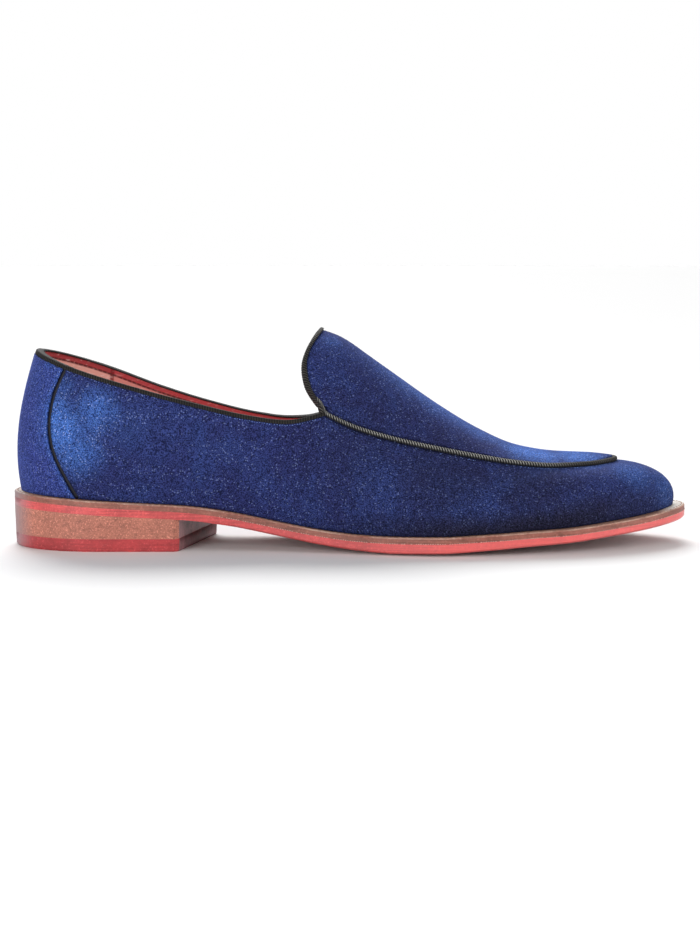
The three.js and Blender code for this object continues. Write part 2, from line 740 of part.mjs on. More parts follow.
// Corded piping laid along the foot of the apron's step, throat to throat.
function pipingGeometry() {
  const sides = 8;
  const first = 1 + throatGap / 2 / quarters[2].top.getLength() / 2;
  const stations = [];
  const spans = 60;
  for (let i = 0; i <= spans; i++) {
    const s = lerp(first, 3 - first, i / spans);
    const p = wallPoint(s, 1);
    const normal = wallNormal(s, 1);
    const down = wallPoint(s, 0.97).sub(p).normalize();
    const middle = p.clone().addScaledVector(normal, pipingSeatOut).addScaledVector(down, pipingSeatDown);
    stations.push(
      Array.from({ length: sides }, (_, j) => {
        const turn = (-2 * Math.PI * j) / sides;
        return middle
          .clone()
          .addScaledVector(normal, pipingRadius * Math.cos(turn))
          .addScaledVector(down, pipingRadius * Math.sin(turn));
      }),
    );
  }
  return sweep(stations);
}

// Flat layers of the sole

// A slab between two edges, left and right, that share their stations. Each
// level gives an inset from the edge and a height over the plan, lowest first.
function slab(left, right, levels) {
  const points = [];
  const faces = [];
  const ringPlan = [...left.map((p) => p.clone())];
  const rightIndex = right.map((p, i) => {
    if (p.distanceTo(left[i]) < 1e-6) return i;
    return null;
  });
  for (let i = right.length - 1; i >= 0; i--)
    if (rightIndex[i] === null) {
      rightIndex[i] = ringPlan.length;
      ringPlan.push(right[i].clone());
    }
  const size = ringPlan.length;
  const inward = ringPlan.map((p, i) => {
    const before = ringPlan[(i + size - 1) % size];
    const after = ringPlan[(i + 1) % size];
    const a = p.clone().sub(before).normalize();
    const b = after.clone().sub(p).normalize();
    const run = a.add(b).normalize();
    return new THREE.Vector2(-run.y, run.x);
  });
  levels.forEach(({ inset, height }) => {
    ringPlan.forEach((p, i) => {
      const q = p.clone().addScaledVector(inward[i], inset);
      points.push(new THREE.Vector3(q.x, q.y, height(q.x)));
    });
  });
  const base = (level) => level * size;
  for (let level = 0; level < levels.length - 1; level++)
    for (let i = 0; i < size; i++) {
      const k = (i + 1) % size;
      faces.push([base(level) + i, base(level) + k, base(level + 1) + k, base(level + 1) + i]);
    }
  const top = base(levels.length - 1);
  for (let i = 0; i < left.length - 1; i++) {
    const quad = [i, i + 1, rightIndex[i + 1], rightIndex[i]];
    faces.push(quad.map((v) => top + v));
    faces.push([...quad].reverse());
  }
  return geometryOf(points, faces);
}

// Both edges of a slab that follows the sole from u0 to u1 with a given inset.
function edgePair(stations, inset, endLeft = 1, endRight = 1) {
  const left = [];
  const right = [];
  for (let i = 0; i <= stations; i++) {
    const turn = (share) => Math.acos(1 - 2 * share);
    const leftTurn = (turn(endLeft) * i) / stations;
    const rightTurn = (turn(endRight) * i) / stations;
    const atTip = i === 0 || (i === stations && endLeft === 1);
    const l = insetEdge(leftTurn, inset);
    left.push(l);
    right.push(atTip ? l.clone() : insetEdge(2 * Math.PI - rightTurn, inset));
  }
  return [left, right];
}

function outsoleGeometry() {
  const [left, right] = edgePair(soleStations, 0);
  return slab(left, right, [
    { inset: treadInset, height: treadHeight },
    { inset: soleBevel, height: rimUnderside },
    { inset: 0, height: (x) => rimUnderside(x) + soleBevel },
    { inset: 0, height: soleTopside },
  ]);
}

function weltGeometry() {
  const [left, right] = edgePair(soleStations, 0);
  return slab(left, right, [
    { inset: 0, height: weltUnderside },
    { inset: 0, height: (x) => weltTopside(x) - weltBevel },
    { inset: weltBevel, height: weltTopside },
  ]);
}

// Insole: fills the upper's foot inside its wall
function insoleGeometry() {
  const left = [];
  const right = [];
  for (let i = 0; i <= soleStations; i++) {
    const turn = (Math.PI * i) / soleStations;
    const inset = weltMargin((1 - Math.cos(turn)) / 2) + upperWall + 2 * seatGap;
    const l = insetEdge(turn, inset);
    left.push(l);
    right.push(i === 0 || i === soleStations ? l.clone() : insetEdge(2 * Math.PI - turn, inset));
  }
  return slab(left, right, [
    { inset: 0, height: upperFoot },
    { inset: 0, height: (x) => upperFoot(x) + insoleThick },
  ]);
}

// Heel: a stacked block and its top lift, cut across at the breast
function heelEdges(inset) {
  const [left, right] = edgePair(heelStations, inset, breastLateralAt, breastMedialAt);
  const cut = (edge, other) => {
    const end = edge[edge.length - 1];
    const across = other[other.length - 1].clone().sub(end).normalize();
    const back = edge[edge.length - 2].clone().sub(end).normalize();
    const corner = end.clone();
    edge[edge.length - 1] = corner.clone().addScaledVector(back, heelCornerCut);
    return corner.addScaledVector(across, heelCornerCut);
  };
  const leftNose = cut(left, right);
  const rightNose = cut(right, left);
  left.push(leftNose);
  right.push(rightNose);
  return [left, right];
}

const liftTop = topLiftThick;
const stackFoot = liftTop + layerGap;

function heelStackGeometry() {
  const [left, right] = heelEdges(0);
  return slab(left, right, [
    { inset: heelTaper * 0.6, height: () => stackFoot },
    { inset: 0, height: (x) => treadHeight(x) - layerGap },
  ]);
}

function topLiftGeometry() {
  const [left, right] = heelEdges(heelTaper * 0.6);
  return slab(left, right, [
    { inset: heelTaper, height: () => 0 },
    { inset: heelTaper * 0.4, height: () => heelTaper },
    { inset: 0, height: () => liftTop },
  ]);
}

// Finishes, as on the real shoe

const finish = (color, roughness) => new THREE.MeshStandardMaterial({ color, roughness, metalness: 0 });
const velvet = finish(0x27357f, 0.95);
const grosgrain = finish(0x24221f, 0.8);
const redSole = finish(0xc43f48, 0.45);
const weltLeather = finish(0x8c5a49, 0.6);
const stackLeather = finish(0xbb7560, 0.65);
const lining = finish(0xcf5a52, 0.6);

function piece(name, geometry, material) {
  const mesh = new THREE.Mesh(geometry, material);
  mesh.name = name;
  return mesh;
}

const loafer = new THREE.Group();
loafer.add(
  piece('outsole', outsoleGeometry(), redSole),
  piece('welt', weltGeometry(), weltLeather),
  piece('heel_stack', heelStackGeometry(), stackLeather),
  piece('top_lift', topLiftGeometry(), redSole),
  piece('insole', insoleGeometry(), lining),
  piece('upper', upperGeometry(), velvet),
  piece('heel_counter', counterGeometry(), velvet),
  piece('collar_binding', bindingGeometry(collarRim(), collarBindingDepth), grosgrain),
  piece('tongue_binding', bindingGeometry(tongueRim(), tongueBindingDepth), grosgrain),
  piece('apron_piping', pipingGeometry(), grosgrain),
);

export default loafer;
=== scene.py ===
import math
import random
from contextlib import contextmanager

import bmesh
import bpy
from bpy.props import FloatProperty, FloatVectorProperty, PointerProperty
from mathutils import Matrix, Vector
from mathutils.bvhtree import BVHTree
from mathutils.kdtree import KDTree


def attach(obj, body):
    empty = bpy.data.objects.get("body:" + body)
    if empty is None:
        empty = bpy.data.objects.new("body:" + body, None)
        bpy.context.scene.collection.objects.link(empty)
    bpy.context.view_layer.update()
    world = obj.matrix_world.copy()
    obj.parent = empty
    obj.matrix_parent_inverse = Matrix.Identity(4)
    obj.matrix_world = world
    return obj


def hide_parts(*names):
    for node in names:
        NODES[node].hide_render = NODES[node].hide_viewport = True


bl_info = {
    "name": "Velvet slipper loafer",
    "version": (1, 0, 0),
    "blender": (4, 5, 0),
    "location": "View3D > Sidebar > Loafer",
    "description": "Dresses the solids of a velvet slipper loafer",
    "category": "Object",
}

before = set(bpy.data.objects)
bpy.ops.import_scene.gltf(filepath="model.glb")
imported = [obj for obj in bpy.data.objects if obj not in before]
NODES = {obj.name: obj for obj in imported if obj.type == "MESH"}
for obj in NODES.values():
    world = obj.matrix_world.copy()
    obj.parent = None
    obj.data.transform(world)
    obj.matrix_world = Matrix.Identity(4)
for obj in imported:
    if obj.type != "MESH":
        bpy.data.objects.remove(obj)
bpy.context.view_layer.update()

MM = 0.001
HEEL_FRONT = -0.058  # behind this the outsole lies on the heel
GRIP_SEAM = -0.1182  # the heel grip's seam, along the shoe
CORNERS = {"collar_binding": 12, "tongue_binding": 12, "apron_piping": 8}  # of a strip's section

# Middle of the foot's space along the shoe: inner faces look towards it
FOOT_SPINE = [
    {"x": -0.128, "y": -0.003, "z": 0.050},
    {"x": -0.060, "y": -0.003, "z": 0.045},
    {"x": -0.010, "y": 0.000, "z": 0.042},
    {"x": 0.020, "y": 0.001, "z": 0.036},
    {"x": 0.050, "y": 0.002, "z": 0.028},
    {"x": 0.080, "y": 0.003, "z": 0.024},
    {"x": 0.110, "y": 0.004, "z": 0.023},
    {"x": 0.130, "y": 0.005, "z": 0.022},
]

# Painted highlights, partly where the pile is brushed lighter (painted shade is in the next table):
# place on either side, size, strength
LIT_AND_BRUSHED = [
    {"x": -0.1265, "y": 0.024, "z": 0.0550, "size": 0.015, "light": 1.00},
    {"x": -0.1110, "y": 0.028, "z": 0.0620, "size": 0.012, "light": 0.72},
    {"x": -0.1190, "y": 0.029, "z": 0.0440, "size": 0.012, "light": 0.60},
    {"x": -0.1235, "y": 0.024, "z": 0.0710, "size": 0.008, "light": 0.60},
    {"x": -0.0990, "y": 0.030, "z": 0.0560, "size": 0.012, "light": 0.12},
    {"x": -0.0080, "y": 0.012, "z": 0.0930, "size": 0.006, "light": 0.22},
    {"x": 0.0600, "y": 0.008, "z": 0.0540, "size": 0.012, "light": 0.45},
    {"x": 0.0820, "y": 0.010, "z": 0.0440, "size": 0.016, "light": 1.00},
    {"x": 0.1020, "y": 0.006, "z": 0.0410, "size": 0.014, "light": 0.85},
    {"x": 0.1260, "y": 0.012, "z": 0.0340, "size": 0.012, "light": 0.35},
    {"x": 0.1440, "y": 0.006, "z": 0.0240, "size": 0.012, "light": 0.34},
]
# Painted shade on the velvet: place on either side, size, strength
SHADED = [
    {"x": 0.0050, "y": 0.040, "z": 0.0480, "size": 0.036, "dark": 0.35},
    {"x": 0.0400, "y": 0.042, "z": 0.0340, "size": 0.032, "dark": 0.50},
    {"x": 0.0800, "y": 0.040, "z": 0.0280, "size": 0.026, "dark": 0.55},
    {"x": 0.0200, "y": 0.026, "z": 0.0620, "size": 0.026, "dark": 0.12},
]


# ---------------------------------------------------------------- small tools


def only(obj):
    """Selects one object and makes it the active one."""
    bpy.ops.object.select_all(action="DESELECT")
    obj.select_set(True)
    bpy.context.view_layer.objects.active = obj


def new_piece(name, mesh):
    """A new object at the origin that holds the mesh."""
    obj = bpy.data.objects.new(name, mesh)
    bpy.context.scene.collection.objects.link(obj)
    return obj


def built(name, verts, faces):
    """A new piece from its corners and faces."""
    mesh = bpy.data.meshes.new(name)
    mesh.from_pydata(verts, [], faces)
    mesh.update()
    return new_piece(name, mesh)


def turned_outwards(obj):
    """Makes the faces of a closed piece point outwards."""
    only(obj)
    bpy.ops.object.mode_set(mode="EDIT")
    bpy.ops.mesh.select_all(action="SELECT")
    bpy.ops.mesh.normals_make_consistent(inside=False)
    bpy.ops.object.mode_set(mode="OBJECT")


@contextmanager
def edited(obj):
    """The object's mesh for editing, written back at the end."""
    bm = bmesh.new()
    bm.from_mesh(obj.data)
    bm.normal_update()
    yield bm
    bm.to_mesh(obj.data)
    bm.free()


def middle_of(points):
    return sum(points, Vector()) / len(points)


def scaled(colour, factor):
    return tuple(c * factor for c in colour)


def dress(obj, slot, *replaced):
    """The piece rides with the shoe and stands for these solids; the slot argument is not used."""
    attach(obj, "root")
    if replaced:
        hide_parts(*replaced)
    return obj


def merged_copy(node, name, quads=True):
    """A copy of a solid's mesh with its loose triangles joined, and paired into quads."""
    obj = new_piece(name, NODES[node].data.copy())
    obj.data.materials.clear()
    only(obj)
    bpy.ops.object.mode_set(mode="EDIT")
    bpy.ops.mesh.select_all(action="SELECT")
    bpy.ops.mesh.remove_doubles(threshold=0.01 * MM)
    if quads:
        bpy.ops.mesh.tris_convert_to_quads(
            face_threshold=math.radians(38), shape_threshold=math.radians(75)
        )
    bpy.ops.object.mode_set(mode="OBJECT")
    return obj


def crease_folds(obj, fold=48.0):
    """Keeps the edges that turn more than fold degrees sharp when the mesh is subdivided."""
    with edited(obj) as bm:
        layers = bm.edges.layers.float
        layer = layers.get("crease_edge") or layers.new("crease_edge")
        for edge in bm.edges:
            if len(edge.link_faces) == 2 and math.degrees(edge.calc_face_angle(0)) > fold:
                edge[layer] = 1.0


def subdivide(obj, levels, hold=2):
    """Subdivides smoothly, after moving the cage out so that the surface keeps its place."""
    only(obj)
    smooth = obj.modifiers.new("Smooth", "SUBSURF")
    smooth.levels = smooth.render_levels = levels
    cage = [v.co.copy() for v in obj.data.vertices]
    for _ in range(hold):
        fine = obj.evaluated_get(bpy.context.evaluated_depsgraph_get()).to_mesh()
        moved = [cage[i] - fine.vertices[i].co for i in range(len(cage))]
        obj.evaluated_get(bpy.context.evaluated_depsgraph_get()).to_mesh_clear()
        for vertex, shift in zip(obj.data.vertices, moved):
            if shift.length < 1.5 * MM:
                vertex.co += shift
        obj.data.update()
    bpy.ops.object.modifier_apply(modifier=smooth.name)


def smooth_shaded(obj, angle):
    """Shades smoothly over edges that turn less than angle degrees."""
    only(obj)
    bpy.ops.object.shade_smooth_by_angle(angle=math.radians(angle))


def closed_up(obj, up=0.0, down=0.0):
    """Moves a layer's topside up and its underside down, so that it meets the next layer."""
    with edited(obj) as bm:
        for v in bm.verts:
            top = any(f.normal.z > 0.85 for f in v.link_faces)
            under = any(f.normal.z < -0.85 for f in v.link_faces)
            if top != under:
                v.co.z += up if top else -down


def squared_over_heel(obj):
    """Takes a layer's lower edge straight down where the heel is fixed to it."""
    with edited(obj) as bm:
        moves = []
        for v in bm.verts:
            slopes = [f.normal.z for f in v.link_faces]
            flat = any(slope < -0.85 for slope in slopes)
            chamfered = any(-0.85 < slope < -0.3 for slope in slopes)
            if v.co.x > HEEL_FRONT or not flat or not chamfered:
                continue
            beside = [edge.other_vert(v) for edge in v.link_edges]
            above = [w for w in beside if w.co.z > v.co.z + 0.3 * MM]
            if above:
                near = min(above, key=lambda w: (w.co.xy - v.co.xy).length)
                moves.append((v, near.co.xy.copy()))
        for v, place in moves:
            v.co.xy = place


def spine_at(x):
    """The point of the foot's spine at a length along the shoe."""
    rows = FOOT_SPINE
    x = min(max(x, rows[0]["x"]), rows[-1]["x"])
    for a, b in zip(rows, rows[1:]):
        if x <= b["x"]:
            t = (x - a["x"]) / (b["x"] - a["x"])
            return Vector((x, a["y"] + t * (b["y"] - a["y"]), a["z"] + t * (b["z"] - a["z"])))
    return Vector((x, rows[-1]["y"], rows[-1]["z"]))


def write_numbers(obj, name, values):
    """Stores one number a vertex under a name that materials read."""
    layer = obj.data.attributes.new(name, "FLOAT", "POINT")
    layer.data.foreach_set("value", values)


def tree_of(points):
    """Finds the nearest of these points."""
    tree = KDTree(len(points))
    for i, p in enumerate(points):
        tree.insert(p, i)
    tree.balance()
    return tree


def along_path(points, step):
    """(point, tangent, distance) every step along a polyline, smoothed between its points."""
    out = []
    travelled = 0.0
    following = 0.0
    count = len(points)
    for i in range(count - 1):
        p0, p1, p2, p3 = points[max(i - 1, 0)], points[i], points[i + 1], points[min(i + 2, count - 1)]
        length = (p2 - p1).length
        while following <= travelled + length:
            t = (following - travelled) / length
            out.append((curve(p0, p1, p2, p3, t), following))
            following += step
        travelled += length
    result = []
    for i, (p, d) in enumerate(out):
        tangent = (out[min(i + 1, len(out) - 1)][0] - out[max(i - 1, 0)][0]).normalized()
        result.append((p, tangent, d))
    return result


def curve(p0, p1, p2, p3, t):
    """A smooth curve from p1 to p2 with its neighbours p0 and p3."""
    return 0.5 * (
        2 * p1 + (p2 - p0) * t + (2 * p0 - 5 * p1 + 4 * p2 - p3) * t * t
        + (3 * p1 - p0 - 3 * p2 + p3) * t * t * t
    )


def bvh_of(obj):
    """Finds the nearest place on an object's faces."""
    return BVHTree.FromPolygons(
        [v.co for v in obj.data.vertices], [list(f.vertices) for f in obj.data.polygons]
    )


# ------------------------------------------------- sections of strips and rims


def joined(node):
    """A solid's mesh with its loose triangles joined."""
    bm = bmesh.new()
    bm.from_mesh(NODES[node].data)
    bmesh.ops.remove_doubles(bm, verts=bm.verts, dist=0.01 * MM)
    bm.normal_update()
    return bm


def end_sections(bm, size):
    """The flat ends of a swept strip whose section has size corners."""
    done, ends = set(), []
    for face in bm.faces:
        if face in done:
            continue
        group, stack = {face}, [face]
        while stack:
            for edge in stack.pop().edges:
                for other in edge.link_faces:
                    if other not in group and other.normal.dot(face.normal) > 0.9995:
                        group.add(other)
                        stack.append(other)
        done |= group
        corners = {v for f in group for v in f.verts}
        if len(group) != size - 2 or len(corners) != size:
            continue
        middle = sum((v.co for v in corners), Vector()) / size
        if max((v.co - middle).length for v in corners) < 4 * MM:
            ends.append((middle.y, corners))
    ends.sort(key=lambda e: e[0])
    return [corners for _, corners in ends]


def sections(node):
    """The sections of a swept strip from its outer side's end on, their corners in step."""
    size = CORNERS[node]
    bm = joined(node)
    ends = end_sections(bm, size)
    if not ends:
        raise RuntimeError(f"no end section found on {node}")
    layer, seen, layers = set(ends[0]), set(ends[0]), []
    while layer:
        if len(layer) != size:
            raise RuntimeError(f"{node} has a section of {len(layer)} corners")
        layers.append(layer)
        layer = {e.other_vert(v) for v in layer for e in v.link_edges} - seen
        seen |= layer
    rings = []
    for layer in layers:
        beside = {
            v: [
                e.other_vert(v)
                for e in v.link_edges
                if e.other_vert(v) in layer
                and any(c not in layer for f in e.link_faces for c in f.verts)
            ]
            for v in layer
        }
        walk = [next(iter(sorted(layer, key=lambda v: (v.co.x, v.co.y, v.co.z))))]
        previous = None
        while len(walk) < size:
            following = [v for v in beside[walk[-1]] if v is not previous and v not in walk]
            previous = walk[-1]
            walk.append(following[0])
        ring = [v.co.copy() for v in walk]
        if rings:
            best = None
            for turned in (ring, ring[::-1]):
                for start in range(size):
                    trial = turned[start:] + turned[:start]
                    cost = sum((a - b).length_squared for a, b in zip(trial, rings[-1]))
                    if best is None or cost < best[0]:
                        best = (cost, trial)
            ring = best[1]
        rings.append(ring)
    bm.free()
    return rings


def middle_line(node):
    """The middles of a strip's sections, from end to end."""
    return [middle_of(ring) for ring in sections(node)]


def lengthened(rings, reach, shrink):
    """The strip's sections with one more beyond each end, a little smaller."""
    out = list(rings)
    for first, second, place in ((rings[0], rings[1], 0), (rings[-1], rings[-2], len(out) + 1)):
        a, b = middle_of(first), middle_of(second)
        shift = (a - b).normalized() * reach
        out.insert(place, [a + shift + (p - a) * shrink for p in first])
    return out


def run_on(cord, tape):
    """The cord's sections with three more before its start, which run up on to the tape."""
    middle = middle_of(cord[0])
    heading = (middle_of(cord[1]) - middle).normalized()
    legs = []
    for ring in tape[:3]:
        outer = sorted(ring, key=lambda p: -abs(p.y))[:2]
        legs.append((outer[0] + outer[1]) / 2)
    stops = [
        middle.lerp(legs[0], 0.4) - heading * 0.6 * MM,
        legs[0].lerp(legs[1], 0.5),
        legs[1].lerp(legs[2], 0.30),
    ]
    out = list(cord)
    for stop, grown in zip(stops, (1.0, 0.92, 0.7)):
        out.insert(0, [stop + (p - middle) * grown for p in cord[0]])
    return out


def run_down(tape, collar):
    """The tongue tape's sections with one more before its start, down to the collar tape."""
    middles = [middle_of(ring) for ring in (collar[0], tape[0], tape[1])]
    shift = (middles[0] - middles[1]) * 0.95
    step = (middles[1] - middles[2]).length
    corner = [p + shift for p in tape[0]]
    share = step / (step + shift.length)
    eased = [p.lerp(a.lerp(b, share), 0.6) for p, a, b in zip(tape[0], tape[1], corner)]
    return [corner, eased] + list(tape[1:])


def snug(rings, drop):
    """Lowers the fold of a tape over an upright rim, so that it sits on the rim."""
    out = []
    for ring in rings:
        top = max(p.z for p in ring)
        shares = [min(max((p.z - top + 1.2 * MM) / (0.7 * MM), 0.0), 1.0) for p in ring]
        out.append([p - Vector((0, 0, drop * share)) for p, share in zip(ring, shares)])
    return out


def swollen(rings, size):
    """Sections scaled about their middles."""
    out = []
    for ring in rings:
        middle = middle_of(ring)
        out.append([middle + (p - middle) * size for p in ring])
    return out


def finer_sections(rings, side):
    """Adds corners so that no side of a section is longer than side."""
    size = len(rings[0])
    counts = [
        max(1, math.ceil(max((ring[(j + 1) % size] - ring[j]).length for ring in rings) / side))
        for j in range(size)
    ]
    return [
        [
            ring[j].lerp(ring[(j + 1) % size], k / counts[j])
            for j in range(size)
            for k in range(counts[j])
        ]
        for ring in rings
    ]


def ribbed_strip(name, rings, pitch, height, slant, keep_off=None):
    """A strip with fine ribs across it, rebuilt from its sections. keep_off is the surface it
    lies on: corners close to it get no ribs."""
    size = len(rings[0])
    middles = [middle_of(ring) for ring in rings]
    distance = [0.0]
    for a, b in zip(middles, middles[1:]):
        distance.append(distance[-1] + (b - a).length)
    step = pitch / 4
    total = int(distance[-1] / step)
    verts, ribs, lengths, underside_shade = [], [], [], []
    span = 0
    across = [0.0]
    for j in range(1, size):
        across.append(across[-1] + (rings[0][j] - rings[0][j - 1]).length)
    for i in range(total + 1):
        d = i * step
        while span < len(distance) - 2 and distance[span + 1] < d:
            span += 1
        t = (d - distance[span]) / (distance[span + 1] - distance[span])
        near = [rings[min(max(span + k, 0), len(rings) - 1)] for k in (-1, 0, 1, 2)]
        section = [curve(near[0][j], near[1][j], near[2][j], near[3][j], t) for j in range(size)]
        tangent = (middles[span + 1] - middles[span]).normalized()
        normals = []
        for j in range(size):
            side = section[(j + 1) % size] - section[j - 1]
            normals.append(tangent.cross(side).normalized())
        middle = middle_of(section)
        facing = sum((p - middle).dot(n) for p, n in zip(section, normals))
        for j, (p, n) in enumerate(zip(section, normals)):
            if facing < 0:
                n = -n
            wave = 0.5 - 0.5 * math.cos(2 * math.pi * (d + slant * across[j]) / pitch)
            weight = 1.0
            if keep_off:
                _, _, _, gap = keep_off.find_nearest(p)
                weight = min(max((gap - 0.45 * MM) / (0.35 * MM), 0.0), 1.0)
            verts.append(p + n * height * wave * weight)
            ribs.append(wave)
            lengths.append(d)
            # How far a corner faces down, read for painted shade on a cord's underside
            underside_shade.append(min(max(0.15 - n.z * 1.5, 0.0), 1.0))
    faces = []
    for i in range(total):
        for j in range(size):
            k = (j + 1) % size
            faces.append((i * size + j, i * size + k, (i + 1) * size + k, (i + 1) * size + j))
    faces.append(tuple(range(size)))
    faces.append(tuple(total * size + j for j in reversed(range(size))))
    obj = built(name, verts, faces)
    turned_outwards(obj)
    write_numbers(obj, "rib", ribs)
    write_numbers(obj, "along", lengths)
    write_numbers(obj, "under", underside_shade)
    bpy.ops.object.shade_smooth()
    return obj


def rim_loop(node, facing):
    """The outline of a plate's top or underside, in order, as points."""
    bm = joined(node)
    region = {f for f in bm.faces if f.normal.dot(facing) > 0.8}
    beside = {}
    for edge in bm.edges:
        inside = [f for f in edge.link_faces if f in region]
        if len(inside) == 1:
            a, b = edge.verts
            beside.setdefault(a, []).append(b)
            beside.setdefault(b, []).append(a)
    start = min(beside, key=lambda v: (v.co.x, v.co.y))
    loop, previous, here = [start], None, start
    while True:
        following = [v for v in beside[here] if v is not previous]
        previous, here = here, following[0]
        if here is start or len(loop) > len(beside):
            break
        loop.append(here)
    points = [v.co.copy() for v in loop]
    bm.free()
    return points


def counter_front(surface_points):
    """The counter's two front edges, from the floor up, as two lists of points."""
    edges = []
    for side in (-1, 1):
        rows = {}
        for p in surface_points:
            if (p.y + 0.003) * side < 0.010:
                continue
            row = round(p.z / (3.0 * MM))
            if row not in rows or p.x > rows[row].x:
                rows[row] = p
        edges.append([rows[k] for k in sorted(rows)])
    return edges


def bead(name, length, width, height):
    """One stitch: a sphere of few faces, drawn out in edit mode."""
    bpy.ops.object.select_all(action="DESELECT")
    bpy.ops.mesh.primitive_uv_sphere_add(segments=6, ring_count=5, radius=0.5)
    obj = bpy.context.object
    obj.name = name
    bpy.ops.object.mode_set(mode="EDIT")
    bpy.ops.transform.rotate(
        value=math.radians(90), orient_axis="Y", center_override=(0.0, 0.0, 0.0)
    )
    bpy.ops.transform.resize(value=(length, width, height))
    bpy.ops.object.mode_set(mode="OBJECT")
    return obj


def scattered(name, pattern, places):
    """One mesh that holds a copy of the pattern at each place, then drops the pattern."""
    base = [v.co.copy() for v in pattern.data.vertices]
    sides = [list(f.vertices) for f in pattern.data.polygons]
    verts, faces = [], []
    for place in places:
        first = len(verts)
        verts.extend(place @ p for p in base)
        faces.extend([first + v for v in side] for side in sides)
    bpy.data.objects.remove(pattern)
    obj = built(name, verts, faces)
    only(obj)
    bpy.ops.object.shade_smooth()
    return obj


def flat_cord(name, places, width, height):
    """A closed cord of oval section through a row of places on a surface."""
    sides = 8
    verts, faces = [], []
    for i, place in enumerate(places):
        thin = 0.35 if i in (0, len(places) - 1) else 1.0
        for j in range(sides):
            turn = 2 * math.pi * j / sides
            across, up = math.cos(turn) * width / 2 * thin, math.sin(turn) * height / 2 * thin
            verts.append(place @ Vector((0, across, up)))
    for i in range(len(places) - 1):
        for j in range(sides):
            k = (j + 1) % sides
            faces.append((i * sides + j, i * sides + k, (i + 1) * sides + k, (i + 1) * sides + j))
    faces.append(tuple(reversed(range(sides))))
    faces.append(tuple((len(places) - 1) * sides + j for j in range(sides)))
    obj = built(name, verts, faces)
    turned_outwards(obj)
    bpy.ops.object.shade_smooth()
    return obj


def lying(point, tangent, normal, turn=0.0, size=1.0):
    """A place on a surface: x along the tangent, z along the normal."""
    z = normal.normalized()
    x = (tangent - z * tangent.dot(z)).normalized()
    if turn:
        x = Matrix.Rotation(turn, 3, z) @ x
    y = z.cross(x)
    return Matrix.Translation(point) @ Matrix((x, y, z)).transposed().to_4x4() @ Matrix.Scale(size, 4)


# ------------------------------------------------------------------- materials


class Surface:
    """A material being wired: its nodes are added one by one and joined by name."""

    def __init__(self, name):
        self.material = bpy.data.materials.new(name)
        self.material.use_nodes = True
        self.nodes = self.material.node_tree.nodes
        self.links = self.material.node_tree.links
        self.shader = self.nodes["Principled BSDF"]
        self.where = self.nodes.new("ShaderNodeTexCoord").outputs["Object"]

    def put(self, socket, value):
        if isinstance(value, bpy.types.NodeSocket):
            self.links.new(value, socket)
        elif value is not None:
            socket.default_value = value

    def set(self, **values):
        for name, value in values.items():
            self.put(self.shader.inputs[name.replace("_", " ")], value)

    def stretched(self, x, y, z):
        node = self.nodes.new("ShaderNodeMapping")
        self.links.new(self.where, node.inputs["Vector"])
        node.inputs["Scale"].default_value = (x, y, z)
        return node.outputs["Vector"]

    def noise(self, scale, detail=4.0, rough=0.55, vector=None, distortion=0.0):
        node = self.nodes.new("ShaderNodeTexNoise")
        self.links.new(vector or self.where, node.inputs["Vector"])
        node.inputs["Scale"].default_value = scale
        node.inputs["Detail"].default_value = detail
        node.inputs["Roughness"].default_value = rough
        node.inputs["Distortion"].default_value = distortion
        return node.outputs["Fac"]

    def cells(self, scale, output="Distance"):
        node = self.nodes.new("ShaderNodeTexVoronoi")
        self.links.new(self.where, node.inputs["Vector"])
        node.inputs["Scale"].default_value = scale
        return node.outputs[output]

    def span(self, value, low, high, to_low=0.0, to_high=1.0):
        node = self.nodes.new("ShaderNodeMapRange")
        node.interpolation_type = "SMOOTHSTEP"
        self.put(node.inputs["Value"], value)
        node.inputs["From Min"].default_value = low
        node.inputs["From Max"].default_value = high
        node.inputs["To Min"].default_value = to_low
        node.inputs["To Max"].default_value = to_high
        return node.outputs["Result"]

    def maths(self, operation, a, b=None):
        node = self.nodes.new("ShaderNodeMath")
        node.operation = operation
        self.put(node.inputs[0], a)
        self.put(node.inputs[1], b)
        return node.outputs[0]

    def times(self, a, b):
        return self.maths("MULTIPLY", a, b)

    def mix(self, factor, a, b, kind="MIX"):
        node = self.nodes.new("ShaderNodeMix")
        node.data_type = "RGBA"
        node.blend_type = kind
        self.put(node.inputs["Factor"], factor)
        self.put(node.inputs["A"], rgba(a))
        self.put(node.inputs["B"], rgba(b))
        return node.outputs["Result"]

    def number(self, name):
        node = self.nodes.new("ShaderNodeAttribute")
        node.attribute_type = "GEOMETRY"
        node.attribute_name = name
        return node.outputs["Fac"]

    def axis(self, letter, either_side=False):
        vector = self.where
        if either_side:
            node = self.nodes.new("ShaderNodeVectorMath")
            node.operation = "ABSOLUTE"
            self.links.new(vector, node.inputs[0])
            vector = node.outputs[0]
        node = self.nodes.new("ShaderNodeSeparateXYZ")
        self.links.new(vector, node.inputs[0])
        return node.outputs[letter]

    def patch(self, row, wobble):
        """1 at a row's place and at its mirror on the other side, and 0 beyond its size."""
        node = self.nodes.new("ShaderNodeSeparateXYZ")
        self.links.new(self.where, node.inputs[0])
        side = self.maths("ABSOLUTE", node.outputs["Y"])
        total = None
        for output, axis in ((node.outputs["X"], "x"), (side, "y"), (node.outputs["Z"], "z")):
            gap = self.maths("SUBTRACT", output, row[axis])
            square = self.times(gap, gap)
            total = square if total is None else self.maths("ADD", total, square)
        size = row["size"]
        reach = self.maths("ADD", self.maths("SQRT", total), self.times(wobble, size * 0.9))
        return self.span(reach, size * 0.15, size * 1.35, 1.0, 0.0)

    def bump(self, height, strength, distance, under=None):
        node = self.nodes.new("ShaderNodeBump")
        node.inputs["Strength"].default_value = strength
        node.inputs["Distance"].default_value = distance
        self.links.new(height, node.inputs["Height"])
        if under is not None:
            self.links.new(under, node.inputs["Normal"])
        return node.outputs["Normal"]


